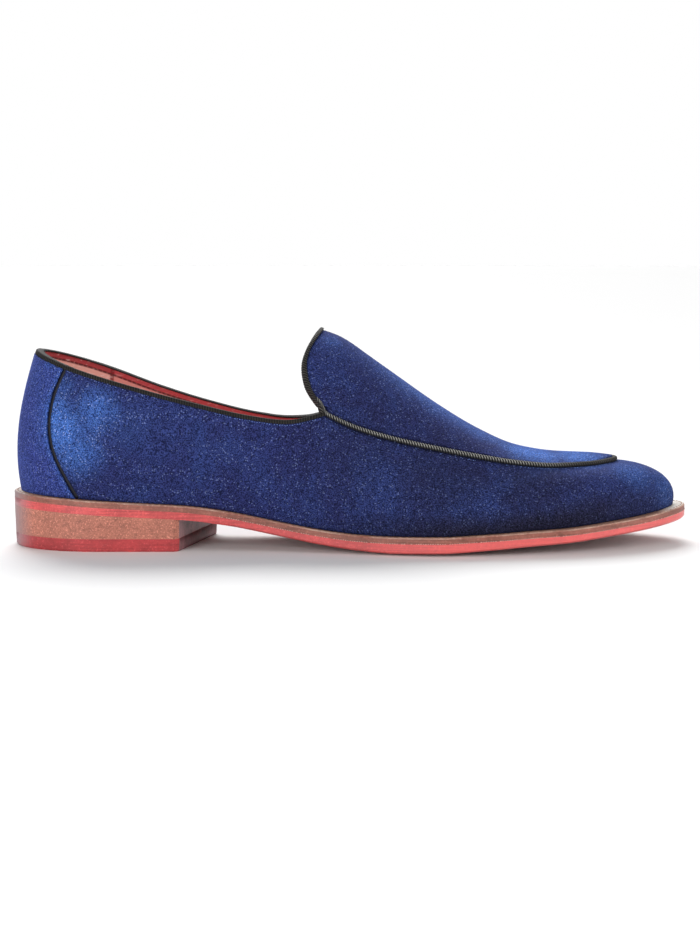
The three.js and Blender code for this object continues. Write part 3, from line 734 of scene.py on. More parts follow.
def rgba(colour):
    if isinstance(colour, bpy.types.NodeSocket):
        return colour
    return (*tuple(colour)[:3], 1.0)


def velvet(name, deep, bright, dark, sheen=0.12, even=False):
    """Short pile with a fine grain: painted highlights in patches, partly brushed pile, and along the
    crown; painted shade low along the sole, in patches and in the grooves; painted glints and sparkle.
    """
    s = Surface(name)
    drift = s.noise(24, 3, 0.5, distortion=0.6)
    strokes = s.noise(1.0, 4, 0.6, s.stretched(120, 120, 60), 0.6)
    wobble = s.maths("SUBTRACT", strokes, 0.5)
    # Painted highlights: the listed patches, partly brushed pile, and a band along the crown
    light = None
    for row in LIT_AND_BRUSHED:
        spot = s.times(s.patch(row, wobble), row["light"])
        light = spot if light is None else s.maths("MAXIMUM", light, spot)
    x, z = s.axis("X"), s.axis("Z")
    crown_highlight = s.maths("ADD", s.axis("Y", True), s.times(wobble, 0.020))
    crown_highlight = s.times(s.span(crown_highlight, 0.004, 0.020, 0.42, 0.0), s.span(x, -0.004, 0.030))
    light = s.maths("MAXIMUM", light, s.times(crown_highlight, s.span(z, 0.030, 0.050)))
    # Painted shade low along the sole, eased towards the toe, and in the listed patches
    rise = s.times(s.maths("MAXIMUM", s.maths("SUBTRACT", x, 0.060), 0.0), 0.12)
    above_sole = s.maths("ADD", s.maths("SUBTRACT", z, rise), s.times(wobble, 0.006))
    low = s.span(above_sole, 0.010, 0.027, 1.0, 0.0)
    shade = s.times(low, s.span(x, -0.045, 0.060, 0.0, 0.95))
    shade = s.times(shade, s.span(x, 0.095, 0.145, 1.0, 0.45))
    for row in SHADED:
        spot = s.times(s.patch(row, wobble), row["dark"])
        shade = s.maths("MAXIMUM", shade, spot)
    if even:
        light = s.times(light, 0.30)
    nap = s.span(s.maths("ADD", s.times(drift, 0.6), s.times(strokes, 0.4)), 0.38, 0.66)
    body = s.mix(s.times(nap, 0.12), deep, bright)
    # Painted highlight along a counter's turned edge, then the painted highlights and the painted shade
    body = s.mix(s.times(s.number("fold"), 0.35), body, bright)
    body = s.mix(s.times(light, 0.9), body, bright)
    body = s.mix(shade, body, dark)
    # Painted shade in the grooves beside the counter's edge and along the cord
    body = s.mix(s.number("groove_shade"), body, (0.0035, 0.004, 0.014))
    grain = s.noise(2000, 1, 0.5)
    coarse = s.noise(620, 2, 0.6)
    fleck = s.span(s.maths("ADD", s.times(grain, 0.86), s.times(coarse, 0.14)), 0.36, 0.66)
    body = s.mix(0.95, body, s.mix(fleck, (0.26, 0.28, 0.33), (2.10, 2.15, 2.0)), "MULTIPLY")
    # Painted glints and sparkle, strongest where highlights are painted and weakest in the painted shade
    painted_glints = s.span(s.noise(1700, 0, 0.5, distortion=0.4), 0.56, 0.66)
    body = s.mix(s.times(painted_glints, s.times(light, 0.55)), body, (0.11, 0.24, 0.62))
    painted_sparkle = s.span(s.cells(1000, output="Distance"), 0.40, 0.16)
    picked = s.span(s.cells(1000, output="Color"), 0.60, 0.66)
    amount = s.maths("ADD", s.times(light, 0.5), s.times(s.maths("SUBTRACT", 1.0, shade), 0.22))
    amount = s.maths("ADD", amount, s.times(s.number("fold"), 0.45))
    painted_sparkle = s.times(s.times(painted_sparkle, picked), s.maths("ADD", amount, 0.06))
    body = s.mix(painted_sparkle, body, (0.36, 0.46, 0.88))
    s.set(Base_Color=body, Roughness=0.92, Specular_IOR_Level=0.10)
    s.set(Sheen_Weight=sheen, Sheen_Roughness=0.45, Sheen_Tint=(0.24, 0.34, 1.0, 1.0))
    relief = s.bump(coarse, 0.25, 0.35 * MM)
    s.set(Normal=s.bump(grain, 0.6, 0.22 * MM, relief))
    return s.material


def lining(colour, grip_colour):
    """Smooth lining leather with a stitched fold near the top, and a paler heel grip behind a seam.
    Behind the seam the band above the fold is darker as painted shade; below the fold it is paler,
    partly a paler leather and partly painted light; pale streaks are painted glints.
    """
    s = Surface("lining_leather")
    mottle = s.noise(110, 4, 0.6)
    pores = s.cells(900)
    seam = s.maths("ADD", s.axis("X"), s.times(s.axis("Z"), -0.10))
    grip = s.span(seam, GRIP_SEAM, GRIP_SEAM + MM, 1.0, 0.0)
    edge = s.number("from_collar")
    under = s.span(edge, 0.0026, 0.0040)
    body = s.mix(s.times(mottle, 0.5), colour, scaled(colour, 0.6))
    # Painted shade: darker behind the grip's seam, kept in the band above the fold
    body = s.mix(s.times(grip, 0.4), body, scaled(colour, 0.4))
    # Below the fold: paler, partly a paler leather and partly painted light
    paler = s.mix(grip, tuple(c * 0.35 + d * 0.65 for c, d in zip(colour, grip_colour)), grip_colour)
    body = s.mix(s.times(under, s.span(edge, 0.012, 0.034, 1.0, 0.35)), body, paler)
    behind = s.span(seam, GRIP_SEAM - MM, GRIP_SEAM - 0.2 * MM)
    line = s.times(behind, s.span(seam, GRIP_SEAM + 0.8 * MM, GRIP_SEAM + 1.6 * MM, 1.0, 0.0))
    body = s.mix(s.times(line, 0.85), body, (0.22, 0.012, 0.016))
    fold = s.times(s.span(edge, 0.0024, 0.0028), s.span(edge, 0.0032, 0.0037, 1.0, 0.0))
    thread = s.span(s.maths("SINE", s.times(s.number("along_collar"), 2600)), -0.9, -0.2, 0.65, 1.0)
    body = s.mix(s.times(fold, s.times(thread, 0.9)), body, (0.07, 0.010, 0.012))
    # Painted glints: pale streaks, most below the fold
    glints = s.span(s.noise(1.0, 4, 0.7, s.stretched(260, 260, 900)), 0.54, 0.64)
    glints = s.times(glints, s.times(s.maths("MAXIMUM", under, 0.5), s.span(grip, 0.0, 1.0, 0.35, 0.85)))
    body = s.mix(glints, body, (0.98, 0.80, 0.74))
    s.set(Base_Color=body, Roughness=s.span(mottle, 0.3, 0.7, 0.42, 0.58), Specular_IOR_Level=0.35)
    relief = s.bump(mottle, 0.35, 0.5 * MM)
    s.set(Normal=s.bump(pores, 0.25, 0.1 * MM, relief))
    return s.material


def ribbed(name, valley_shade, ridge, worn_and_lit, low, high, front=None):
    """Ribbed tape or cord: painted shade between the ribs, threads, and paler rib tops, partly wear and
    partly painted highlight. A cord is darker towards the front, and darker on its underside as painted
    shade.
    """
    s = Surface(name)
    rib = s.number("rib")
    thread = s.noise(1500, 3, 0.7)
    fade = s.noise(60, 3, 0.5)
    top = s.mix(s.span(fade, 0.35, 0.7), ridge, worn_and_lit)
    top = s.mix(s.times(s.span(thread, 0.3, 0.7), 0.5), top, scaled(ridge, 0.45))
    top = s.mix(s.span(s.axis("X"), 0.074, 0.104, 0.0, 0.82), top, front or ridge)
    body = s.mix(s.span(rib, low, high), valley_shade, top)
    # Painted shade on a cord's underside
    if front:
        body = s.mix(s.times(s.number("under"), 0.92), body, valley_shade)
    s.set(Base_Color=body, Roughness=0.78, Specular_IOR_Level=0.25)
    s.set(Sheen_Weight=0.04, Sheen_Roughness=0.5)
    s.set(Normal=s.bump(thread, 0.35, 0.12 * MM))
    return s.material


def leather(
    name, colour, shade, rough, coat, grain, streak, scuff=0.0, speck=0.35, back=True, toe=None
):
    """Leather of the sole: fine grain, drawn-out streaks along an edge, and light scuffs. It is
    darker and duller at the heel's back as painted shade, and takes the toe's colour towards the front
    where one is given."""
    s = Surface(name)
    mottle = s.noise(90, 5, 0.6)
    fine = s.noise(grain, 3, 0.7)
    drawn = s.noise(1.0, 5, 0.65, s.stretched(*streak))
    body = s.mix(s.span(mottle, 0.35, 0.7), colour, shade)
    body = s.mix(s.times(s.span(drawn, 0.48, 0.66), 0.55), body, scaled(shade, 0.55))
    pale = s.span(fine, 0.54, 0.66)
    body = s.mix(s.times(pale, speck), body, tuple(min(c * 1.6 + 0.05, 1.0) for c in colour))
    pore = s.span(fine, 0.46, 0.36)
    body = s.mix(s.times(pore, speck * 0.8), body, scaled(shade, 0.5))
    # Painted shade: darker where the heel's back curves away
    if back:
        body = s.mix(s.span(s.axis("X"), -0.1515, -0.1400, 0.7, 0.0), body, (0.26, 0.20, 0.22))
    if toe:
        body = s.mix(s.span(s.axis("X"), -0.010, 0.050, 0.0, 0.5), body, toe)
    if scuff:
        rub = s.span(s.noise(1.0, 6, 0.75, s.stretched(260, 260, 700), 1.5), 0.60, 0.72)
        body = s.mix(s.times(rub, scuff), body, tuple(c * 0.35 + 0.42 for c in colour))
    s.set(Base_Color=body, Roughness=s.span(fine, 0.3, 0.7, rough - 0.08, rough + 0.14))
    s.set(Specular_IOR_Level=0.4, Coat_Weight=coat, Coat_Roughness=0.3)
    relief = s.bump(drawn, 0.25, 0.12 * MM)
    s.set(Normal=s.bump(fine, 0.3, 0.08 * MM, relief))
    return s.material


def welt_top(colour, worn_and_lit):
    """Top of the welt, pale at the toe and behind the heel: partly wear, partly painted highlight."""
    s = Surface("welt_top")
    fine = s.noise(900, 3, 0.7)
    x = s.axis("X")
    ends = s.maths("MAXIMUM", s.span(x, 0.136, 0.147), s.span(x, -0.150, -0.140, 0.6, 0.0))
    body = s.mix(ends, colour, worn_and_lit)
    body = s.mix(s.span(fine, 0.50, 0.64, 0.0, 0.55), body, tuple(min(c * 1.7, 0.8) for c in colour))
    s.set(Base_Color=body, Roughness=s.span(fine, 0.3, 0.7, 0.45, 0.65), Specular_IOR_Level=0.35)
    s.set(Normal=s.bump(fine, 0.3, 0.08 * MM))
    return s.material


def thread(name, colour):
    """Waxed thread with a fine twist."""
    s = Surface(name)
    twist = s.noise(2200, 2, 0.6)
    s.set(Base_Color=s.mix(s.span(twist, 0.35, 0.65), colour, scaled(colour, 0.6)), Roughness=0.6)
    s.set(Specular_IOR_Level=0.35, Normal=s.bump(twist, 0.3, 0.06 * MM))
    return s.material


def give(obj, *materials):
    for material in materials:
        obj.data.materials.append(material)


# ----------------------------------------------------------- sizes and colours


class LoaferSizes(bpy.types.PropertyGroup):
    """Sizes of the shoe's small details."""

    rib_pitch: FloatProperty(name="Rib pitch", description="Distance between two ribs of the tape",
                             default=1.15 * MM, subtype="DISTANCE", unit="LENGTH")
    rib_height: FloatProperty(name="Rib height", description="Height of the tape's ribs",
                              default=0.16 * MM, subtype="DISTANCE", unit="LENGTH")
    cord_pitch: FloatProperty(name="Cord rib pitch", description="Distance between two ribs of the cord",
                              default=1.25 * MM, subtype="DISTANCE", unit="LENGTH")
    cord_rib: FloatProperty(name="Cord rib height", description="Height of the cord's ribs",
                            default=0.17 * MM, subtype="DISTANCE", unit="LENGTH")
    fold_width: FloatProperty(name="Counter fold", description="Width of the counter's turned edge",
                              default=1.2 * MM, subtype="DISTANCE", unit="LENGTH")
    fold_height: FloatProperty(name="Counter fold height", description="How far the turned edge swells",
                               default=0.35 * MM, subtype="DISTANCE", unit="LENGTH")
    counter_stitch: FloatProperty(name="Counter stitch", description="Pitch of the counter's stitches",
                                  default=2.3 * MM, subtype="DISTANCE", unit="LENGTH")
    welt_stitch: FloatProperty(name="Welt stitch", description="Pitch of the stitches on the welt",
                               default=2.9 * MM, subtype="DISTANCE", unit="LENGTH")


class LoaferColours(bpy.types.PropertyGroup):
    """Colours of the shoe, before light falls on them; some are mixed in as painted highlights and
    painted shade.
    """

    velvet_deep: FloatVectorProperty(name="Velvet", description="Velvet where the pile stands up",
                                     default=(0.0175, 0.0215, 0.090), subtype="COLOR", size=3)
    # Colour of the brushed pile, also used for the painted highlights
    velvet_brushed_and_lit: FloatVectorProperty(name="Brushed velvet", description="Velvet that is brushed light",
                                       default=(0.046, 0.120, 0.42), subtype="COLOR", size=3)
    velvet_dark: FloatVectorProperty(name="Shaded velvet", description="Velvet in the shade",
                                     default=(0.0105, 0.0095, 0.022), subtype="COLOR", size=3)
    tape: FloatVectorProperty(name="Tape", description="Ribs of the collar and tongue tape",
                              default=(0.0150, 0.0138, 0.0125), subtype="COLOR", size=3)
    cord: FloatVectorProperty(name="Cord", description="Ribs of the cord along the apron seam",
                              default=(0.52, 0.51, 0.47), subtype="COLOR", size=3)
    lining: FloatVectorProperty(name="Lining", description="Lining leather",
                                default=(0.62, 0.080, 0.090), subtype="COLOR", size=3)
    heel_grip: FloatVectorProperty(name="Heel grip", description="Paler leather behind the heel",
                                   default=(0.92, 0.52, 0.44), subtype="COLOR", size=3)
    welt: FloatVectorProperty(name="Welt", description="Welt leather",
                              default=(0.34, 0.115, 0.080), subtype="COLOR", size=3)
    sole: FloatVectorProperty(name="Sole", description="Outsole edge and tread",
                              default=(0.72, 0.085, 0.085), subtype="COLOR", size=3)
    stack: FloatVectorProperty(name="Heel stack", description="Stacked leather of the heel",
                               default=(0.49, 0.175, 0.118), subtype="COLOR", size=3)
    lift: FloatVectorProperty(name="Top lift", description="Lift under the heel",
                              default=(0.50, 0.048, 0.052), subtype="COLOR", size=3)


def sizes():
    return bpy.context.scene.loafer_sizes


def colours():
    return bpy.context.scene.loafer_colours


# --------------------------------------------------------------------- pieces


class LOAFER_OT_upper(bpy.types.Operator):
    """Velvet upper with its leather lining"""

    bl_idname = "loafer.upper"
    bl_label = "Velvet upper"

    def execute(self, context):
        obj = merged_copy("upper", "velvet_upper")
        crease_folds(obj)
        subdivide(obj, 2)
        c = colours()
        pile = velvet("velvet", c.velvet_deep, c.velvet_brushed_and_lit, c.velvet_dark)
        give(obj, pile, lining(c.lining, c.heel_grip))
        seams = []
        for node in ("apron_piping", "tongue_binding"):
            seams += middle_line(node)
        seam_tree = tree_of([p for p, _, _ in along_path(seams, 2.0 * MM)] + seams)
        whole = bvh_of(obj)
        for face in obj.data.polygons:
            away = (face.center - spine_at(face.center.x)).normalized()
            if face.normal.dot(away) >= 0:
                continue
            beside_seam = seam_tree.find(face.center)[2] < 8 * MM
            if beside_seam and whole.ray_cast(face.center + away * 0.05 * MM, away, 12 * MM)[0] is None:
                continue
            face.material_index = 1
        path = along_path(middle_line("collar_binding"), 1.0 * MM)
        tree = tree_of([p for p, _, _ in path])
        near, far = [], []
        for v in obj.data.vertices:
            _, i, gap = tree.find(v.co)
            near.append(gap)
            far.append(path[i][2])
        write_numbers(obj, "from_collar", near)
        write_numbers(obj, "along_collar", far)
        # Painted shade beside the counter's front edges and on both sides of the cord, stored for the
        # velvet
        back = NODES["heel_counter"].data.vertices
        front = counter_front([v.co.copy() for v in back])
        line = tree_of([p for edge in front for p, _, _ in along_path(edge, 0.5 * MM)])
        cord_line = tree_of([p for p, _, _ in along_path(middle_line("apron_piping"), 0.5 * MM)])
        depth = []
        for v in obj.data.vertices:
            beside_counter = 1.0 - line.find(v.co)[2] / (2.3 * MM)
            beside_cord = 1.0 - (cord_line.find(v.co)[2] - 1.2 * MM) / (1.3 * MM)
            depth.append(min(max(beside_counter, beside_cord * 0.9, 0.0), 1.0))
        write_numbers(obj, "groove_shade", depth)
        smooth_shaded(obj, 50)
        dress(obj, "velvet", "upper")
        return {"FINISHED"}


class LOAFER_OT_counter(bpy.types.Operator):
    """Heel counter with its turned edge and a row of stitches"""

    bl_idname = "loafer.counter"
    bl_label = "Heel counter"

    def execute(self, context):
        obj = merged_copy("heel_counter", "velvet_counter")
        crease_folds(obj)
        subdivide(obj, 2)
        size, c = sizes(), colours()
        edges = counter_front([v.co.copy() for v in obj.data.vertices])
        paths = [along_path(edge, 0.5 * MM) for edge in edges]
        tree = tree_of([p for path in paths for p, _, _ in path])
        # A painted highlight along the turned edge, stored as fold for the velvet's colour and sparkle
        fold_highlight = []
        for v in obj.data.vertices:
            _, _, gap = tree.find(v.co)
            away = v.co - spine_at(v.co.x)
            fold_highlight.append(max(0.0, 1.0 - gap / (2.2 * size.fold_width)))
            if gap < size.fold_width and v.normal.dot(away) > 0:
                swell = math.sin(math.pi * min(gap / size.fold_width + 0.25, 1.0))
                v.co += v.normal * size.fold_height * max(swell, 0.0)
        obj.data.update()
        write_numbers(obj, "fold", fold_highlight)
        deep = tuple(a * 0.5 + b * 0.5 for a, b in zip(c.velvet_deep, (0.036, 0.052, 0.24)))
        give(obj, velvet("velvet_counter", deep, c.velvet_brushed_and_lit, c.velvet_dark, 0.2, even=True))
        smooth_shaded(obj, 55)
        dress(obj, "velvet", "heel_counter")
        surface = bvh_of(obj)
        pattern = bead("counter_stitch_one", 1.75 * MM, 0.42 * MM, 0.36 * MM)
        places = []
        for path in paths:
            last = -1.0
            for p, tangent, d in path[8:-8]:
                if d - last < size.counter_stitch:
                    continue
                last = d
                _, normal, _, _ = surface.find_nearest(p + Vector((-1.2 * MM, 0, 0)))
                inward = normal.cross(tangent)
                if inward.x > 0:
                    inward = -inward
                spot, normal, _, _ = surface.find_nearest(p + inward * 2.1 * MM)
                if normal.dot(spot - spine_at(spot.x)) > 0:
                    places.append(lying(spot - normal * 0.02 * MM, tangent, normal))
        row = scattered("counter_stitches", pattern, places)
        give(row, thread("blue_thread", (0.010, 0.014, 0.07)))
        dress(row, "velvet")
        upper = bvh_of(bpy.data.objects["velvet_upper"])
        # Near-black strips along the counter's front edges: painted shade where the turned edge meets
        # the quarter
        shadow = thread("seam_shade_strip", (0.0025, 0.003, 0.010))
        for side, path in zip(("outer", "inner"), paths):
            places = []
            for p, tangent, _ in path[::3]:
                spot, normal, _, _ = upper.find_nearest(p + Vector((1.3 * MM, 0, 0)))
                places.append(lying(spot + normal * 0.08 * MM, tangent, normal))
            seam = flat_cord("counter_seam_shade_" + side, places, 1.5 * MM, 0.4 * MM)
            give(seam, shadow)
            dress(seam, "velvet")
        return {"FINISHED"}


class LOAFER_OT_tapes(bpy.types.Operator):
    """Ribbed tape round the collar and over the tongue's edge"""

    bl_idname = "loafer.tapes"
    bl_label = "Ribbed tapes"

    def execute(self, context):
        size, c = sizes(), colours()
        surface = bvh_of(NODES["upper"])
        # Valleys far darker than the ribs are painted shade; the paler rib tops are partly wear and
        # partly painted highlight
        tape = ribbed("ribbed_tape", scaled(c.tape, 0.15), scaled(c.tape, 1.5),
                      scaled(c.tape, 2.6), 0.35, 0.9)
        slanted = ribbed("ribbed_tape_tongue", scaled(c.tape, 0.1), scaled(c.tape, 4.0),
                         scaled(c.tape, 14.0), 0.50, 0.98)
        for node, name, slant, pitch, material in (
            ("collar_binding", "collar_tape", 0.0, size.rib_pitch, tape),
            ("tongue_binding", "tongue_tape", 0.45, size.cord_pitch, slanted),
        ):
            rings = sections(node)
            if node == "tongue_binding":
                collar = sections("collar_binding")
                rings = run_down(rings, collar)
                rings = run_down(rings[::-1], collar[::-1])[::-1]
            else:
                rings = snug(lengthened(rings, 2.2 * MM, 0.96), 0.35 * MM)
            rings = finer_sections(rings, 0.5 * MM)
            obj = ribbed_strip(name, rings, pitch, size.rib_height, slant, surface)
            give(obj, material)
            dress(obj, "ribbed_tape", node)
        return {"FINISHED"}


class LOAFER_OT_cord(bpy.types.Operator):
    """Ribbed cord along the apron seam"""

    bl_idname = "loafer.cord_trim"
    bl_label = "Apron cord"

    def execute(self, context):
        size, c = sizes(), colours()
        cord, tongue = sections("apron_piping"), sections("tongue_binding")
        rings = run_on(cord, tongue)
        rings = run_on(rings[::-1], tongue[::-1])[::-1]
        rings = finer_sections(swollen(rings, 1.16), 0.4 * MM)
        obj = ribbed_strip("apron_cord", rings, size.cord_pitch, size.cord_rib, 0.6)
        # Near-black valleys are painted shade, and so is the darkened underside
        give(obj, ribbed("cord", (0.004, 0.004, 0.005), c.cord, scaled(c.cord, 0.7), 0.42, 0.95,
                         (0.040, 0.034, 0.028)))
        dress(obj, "piping_cord", "apron_piping")
        return {"FINISHED"}


class LOAFER_OT_flecks(bpy.types.Operator):
    """Fine stitches and pile flecks beside the tapes and the cord"""

    bl_idname = "loafer.flecks"
    bl_label = "Stitches beside tapes and cord"

    def execute(self, context):
        rng = random.Random(7)
        surface = bvh_of(bpy.data.objects["velvet_upper"])
        pattern = bead("fleck_one", 0.62 * MM, 0.30 * MM, 0.24 * MM)
        places = []
        for p, tangent, _ in along_path(middle_line("apron_piping"), 0.8 * MM):
            strong = 1.0 if 0.074 < p.x < 0.114 else 0.16
            if rng.random() > 0.8 * strong:
                continue
            outward = p - Vector((p.x * 0.75, 0.002, p.z))
            outward.z = 0
            outward.normalize()
            aside = (1.25 + 0.5 * rng.random()) * MM
            down = (0.9 + 0.4 * rng.random()) * MM
            spot, normal, _, _ = surface.find_nearest(p + outward * aside - Vector((0, 0, down)))
            turn, size = rng.uniform(-0.6, 0.6), rng.uniform(0.5, 1.0)
            places.append(lying(spot + normal * 0.03 * MM, tangent, normal, turn, size))
        rings = sections("collar_binding")
        low_edge = [min(ring, key=lambda v: v.z - 2 * abs(v.y + 0.003)) for ring in rings]
        for p, tangent, _ in along_path(low_edge, 1.1 * MM):
            strong = 1.0 if -0.060 < p.x < -0.016 else 0.2
            if rng.random() > 0.9 * strong:
                continue
            down = (0.35 + 0.3 * rng.random()) * MM
            spot, normal, _, _ = surface.find_nearest(p - Vector((0, 0, down)))
            turn, size = rng.uniform(-0.3, 0.3), rng.uniform(0.6, 1.1)
            places.append(lying(spot + normal * 0.03 * MM, tangent, normal, turn, size))
        obj = scattered("pile_flecks", pattern, places)
        give(obj, thread("fleck_thread", (0.20, 0.34, 0.82)))
        dress(obj, "velvet")
        return {"FINISHED"}


class LOAFER_OT_footbed(bpy.types.Operator):
    """Leather sock inside the shoe"""

    bl_idname = "loafer.footbed"
    bl_label = "Sock"

    def execute(self, context):
        obj = merged_copy("insole", "leather_sock", quads=False)
        c = colours()
        give(obj, leather("sock_leather", c.lining, scaled(c.lining, 0.7), 0.5, 0.0, 500, (60, 60, 60),
                          back=False))
        smooth_shaded(obj, 40)
        dress(obj, "sock_leather", "insole")
        return {"FINISHED"}


class LOAFER_OT_welt(bpy.types.Operator):
    """Welt with a worn upper edge and its row of stitches"""

    bl_idname = "loafer.welt"
    bl_label = "Welt"

    def execute(self, context):
        size, c = sizes(), colours()
        obj = merged_copy("welt", "stitched_welt", quads=False)
        closed_up(obj, down=0.28 * MM)
        shade = scaled(c.welt, 0.62)
        brown = leather("welt_leather", c.welt, shade, 0.5, 0.12, 800, (30, 30, 900), 0.25)
        pale = leather("welt_worn_lit_edge", (0.55, 0.36, 0.28), c.welt, 0.55, 0.0, 900, (40, 40, 400), 0.55)
        give(obj, brown, pale, welt_top((0.36, 0.20, 0.15), (0.74, 0.70, 0.64)))
        # Chamfer faces that look up take the paler leather, partly wear and partly painted highlight;
        # the flat top takes the welt's top
        for face in obj.data.polygons:
            if face.normal.z > 0.25:
                face.material_index = 1 if face.normal.z < 0.86 else 2
        smooth_shaded(obj, 25)
        dress(obj, "welt_leather", "welt")
        loop = rim_loop("welt", Vector((0, 0, 1)))
        middle = middle_of(loop)
        surface = bvh_of(NODES["welt"])
        pattern = bead("welt_stitch_one", 2.15 * MM, 0.62 * MM, 0.5 * MM)
        places = []
        for p, tangent, _ in along_path(loop + loop[:1], size.welt_stitch)[:-1]:
            inward = Vector((0, 0, 1)).cross(tangent)
            if inward.dot(Vector((middle.x * 0.3 + p.x * 0.7, 0.0, p.z)) - p) < 0:
                inward = -inward
            spot, normal, _, _ = surface.find_nearest(p + inward * 0.85 * MM + Vector((0, 0, 0.3 * MM)))
            if normal.z > 0.7:
                places.append(lying(spot, tangent, normal))
        row = scattered("welt_stitches", pattern, places)
        give(row, thread("tan_thread", (0.46, 0.25, 0.17)))
        dress(row, "welt_leather")
        # Pale beads along the welt's lower edge: a painted highlight line at the joint with the outsole
        under = rim_loop("welt", Vector((0, 0, -1)))
        rng = random.Random(3)
        pattern = bead("joint_bead_one", 0.80 * MM, 0.34 * MM, 0.40 * MM)
        places = []
        for p, tangent, _ in along_path(under + under[:1], 1.05 * MM)[:-1]:
            if p.x < HEEL_FRONT or rng.random() < 0.12:
                continue
            outward = Vector((tangent.y, -tangent.x, 0)).normalized()
            if outward.dot(p - Vector((p.x * 0.7, 0.0, p.z))) < 0:
                outward = -outward
            places.append(lying(p + outward * 0.06 * MM - Vector((0, 0, 0.14 * MM)), tangent, outward,
                                rng.uniform(-0.15, 0.15), rng.uniform(0.75, 1.1)))
        joint = scattered("joint_highlight_beads", pattern, places)
        give(joint, thread("pale_joint_highlight", (0.78, 0.50, 0.42)))
        dress(joint, "welt_leather")
        return {"FINISHED"}


class LOAFER_OT_sole(bpy.types.Operator):
    """Leather outsole with a waxed edge"""

    bl_idname = "loafer.sole"
    bl_label = "Outsole"

    def execute(self, context):
        c = colours()
        obj = merged_copy("outsole", "leather_outsole", quads=False)
        squared_over_heel(obj)
        edge = leather("sole_edge", c.sole, scaled(c.sole, 0.72), 0.38, 0.25, 900, (26, 26, 1300), 0.22,
                       toe=(0.92, 0.17, 0.16))
        tread = leather("sole_tread", (0.36, 0.13, 0.115), (0.26, 0.085, 0.08),
                        0.5, 0.1, 420, (70, 220, 70), 0.12)
        give(obj, edge, tread)
        for face in obj.data.polygons:
            if face.normal.z < -0.85:
                face.material_index = 1
        smooth_shaded(obj, 25)
        dress(obj, "sole_leather", "outsole")
        return {"FINISHED"}


class LOAFER_OT_heel(bpy.types.Operator):
    """Stacked heel, its front face and its top lift"""

    bl_idname = "loafer.heel"
    bl_label = "Heel"

    def execute(self, context):
        c = colours()
        stack = merged_copy("heel_stack", "stacked_heel", quads=False)
        side = leather("stacked_leather", c.stack, scaled(c.stack, 0.85), 0.5, 0.08, 1300,
                       (420, 420, 420), 0.06, speck=0.75)
        drawn = (30, 900, 90)
        front = leather("heel_front", (0.46, 0.24, 0.25), (0.20, 0.11, 0.12), 0.5, 0.1, 700, drawn, 0.3)
        give(stack, side, front)
        lift = merged_copy("top_lift", "heel_top_lift", quads=False)
        under = leather("lift_side", c.lift, scaled(c.lift, 0.7), 0.42, 0.15, 900, (26, 26, 900), 0.14)
        rim = leather("lift_front", (0.34, 0.15, 0.16), (0.17, 0.08, 0.09), 0.5, 0.1, 700, drawn, 0.35)
        give(lift, under, rim)
        closed_up(stack, up=0.28 * MM)
        closed_up(lift, up=0.28 * MM)
        for obj in (stack, lift):
            for face in obj.data.polygons:
                if face.normal.x > 0.75:
                    face.material_index = 1
            smooth_shaded(obj, 25)
        dress(stack, "stacked_leather", "heel_stack")
        dress(lift, "top_lift", "top_lift")
        return {"FINISHED"}


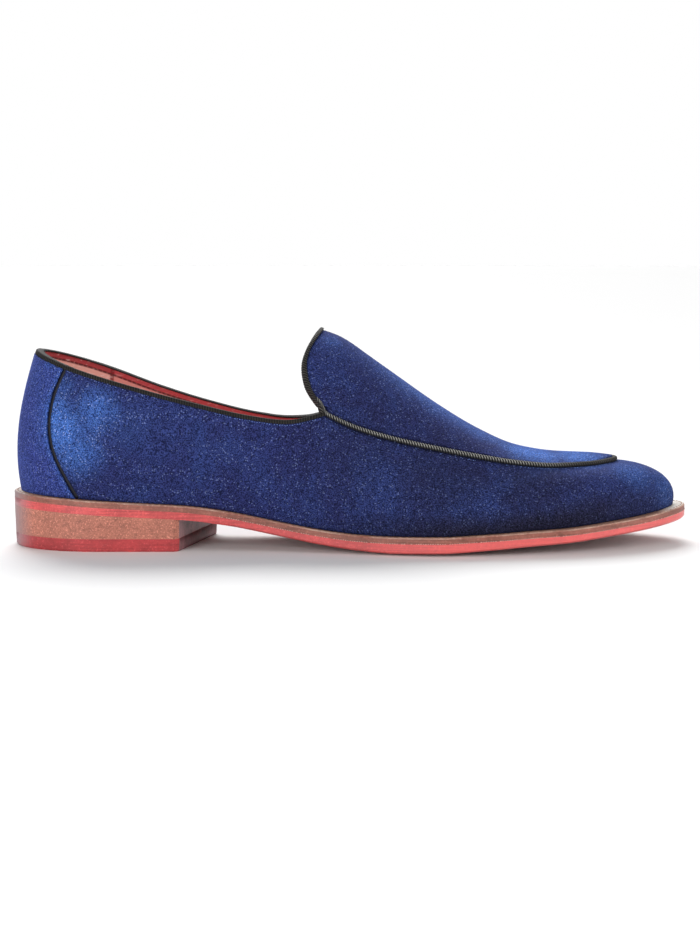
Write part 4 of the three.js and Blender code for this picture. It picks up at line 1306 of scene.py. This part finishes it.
class LOAFER_OT_stage(bpy.types.Operator):
    """Pale floor, soft light and the camera"""

    bl_idname = "loafer.stage"
    bl_label = "Stage"

    def execute(self, context):
        scene = context.scene
        bpy.ops.object.select_all(action="DESELECT")
        bpy.ops.mesh.primitive_plane_add(size=1.0)
        floor = context.object
        floor.name = "floor"
        bpy.ops.object.mode_set(mode="EDIT")
        bpy.ops.transform.resize(value=(30.0, 30.0, 1.0))
        bpy.ops.object.mode_set(mode="OBJECT")
        s = Surface("pale_floor")
        s.set(Base_Color=(0.93, 0.93, 0.93, 1.0), Roughness=0.7, Specular_IOR_Level=0.15)
        give(floor, s.material)
        world = scene.world or bpy.data.worlds.new("studio")
        scene.world = world
        world.use_nodes = True
        world.node_tree.nodes["Background"].inputs["Color"].default_value = (1.0, 1.0, 1.0, 1.0)
        world.node_tree.nodes["Background"].inputs["Strength"].default_value = 0.33
        bpy.ops.object.select_all(action="DESELECT")
        bpy.ops.mesh.primitive_uv_sphere_add(segments=48, ring_count=24, radius=6.0)
        dome = context.object
        dome.name = "backdrop"
        white = Surface("white_backdrop")
        white.set(Base_Color=(0.0, 0.0, 0.0, 1.0), Specular_IOR_Level=0.0)
        white.set(Emission_Color=(1.0, 1.0, 1.0, 1.0), Emission_Strength=1.0)
        give(dome, white.material)
        dome.visible_diffuse = dome.visible_glossy = dome.visible_shadow = False
        sun = bpy.data.lights.new("soft_sky", "SUN")
        sun.energy = 2.95
        sun.angle = math.radians(40)
        sky = bpy.data.objects.new("soft_sky", sun)
        scene.collection.objects.link(sky)
        sky.rotation_euler = (-Vector((-0.14, 1.05, 1.0))).to_track_quat("-Z", "Y").to_euler()
        for name, place, size, power in (
            ("key_light", (-0.9, -1.8, 0.55), 0.9, 22.0),
            ("toe_light", (1.5, -0.6, 0.5), 0.8, 9.0),
        ):
            lamp = bpy.data.lights.new(name, "AREA")
            lamp.size = size
            lamp.energy = power
            obj = bpy.data.objects.new(name, lamp)
            scene.collection.objects.link(obj)
            obj.location = place
            towards = Vector((0, 0, 0.03)) - Vector(place)
            obj.rotation_euler = towards.to_track_quat("-Z", "Y").to_euler()
        lens = bpy.data.cameras.new("camera")
        lens.lens = 85.1
        lens.sensor_width = 36.0
        camera = bpy.data.objects.new("camera", lens)
        scene.collection.objects.link(camera)
        target = Vector((-0.0005, 0.0, 0.034))
        rise = math.radians(6.4)
        camera.location = target + Vector((0.0, -math.cos(rise), math.sin(rise)))
        camera.rotation_euler = (target - camera.location).to_track_quat("-Z", "Y").to_euler()
        scene.camera = camera
        scene.view_settings.view_transform = "Standard"
        return {"FINISHED"}


class LOAFER_PT_panel(bpy.types.Panel):
    """The loafer's pieces in the sidebar"""

    bl_idname = "LOAFER_PT_panel"
    bl_label = "Velvet slipper loafer"
    bl_space_type = "VIEW_3D"
    bl_region_type = "UI"
    bl_category = "Loafer"

    def draw(self, context):
        column = self.layout.column()
        for group in (context.scene.loafer_sizes, context.scene.loafer_colours):
            for name in group.__annotations__:
                column.prop(group, name)
        for operator in PIECES:
            column.operator(operator.bl_idname)


PIECES = (
    LOAFER_OT_upper,
    LOAFER_OT_counter,
    LOAFER_OT_tapes,
    LOAFER_OT_cord,
    LOAFER_OT_flecks,
    LOAFER_OT_footbed,
    LOAFER_OT_welt,
    LOAFER_OT_sole,
    LOAFER_OT_heel,
    LOAFER_OT_stage,
)
CLASSES = (LoaferSizes, LoaferColours, *PIECES, LOAFER_PT_panel)


def register():
    for item in CLASSES:
        bpy.utils.register_class(item)
    bpy.types.Scene.loafer_sizes = PointerProperty(type=LoaferSizes)
    bpy.types.Scene.loafer_colours = PointerProperty(type=LoaferColours)


def unregister():
    del bpy.types.Scene.loafer_colours
    del bpy.types.Scene.loafer_sizes
    for item in reversed(CLASSES):
        bpy.utils.unregister_class(item)


def main():
    register()
    bpy.ops.object.select_all(action="DESELECT")
    bpy.ops.loafer.upper()
    bpy.ops.loafer.counter()
    bpy.ops.loafer.tapes()
    bpy.ops.loafer.cord_trim()
    bpy.ops.loafer.flecks()
    bpy.ops.loafer.footbed()
    bpy.ops.loafer.welt()
    bpy.ops.loafer.sole()
    bpy.ops.loafer.heel()
    bpy.ops.loafer.stage()
    bpy.context.view_layer.update()


if __name__ == "__main__":
    main()
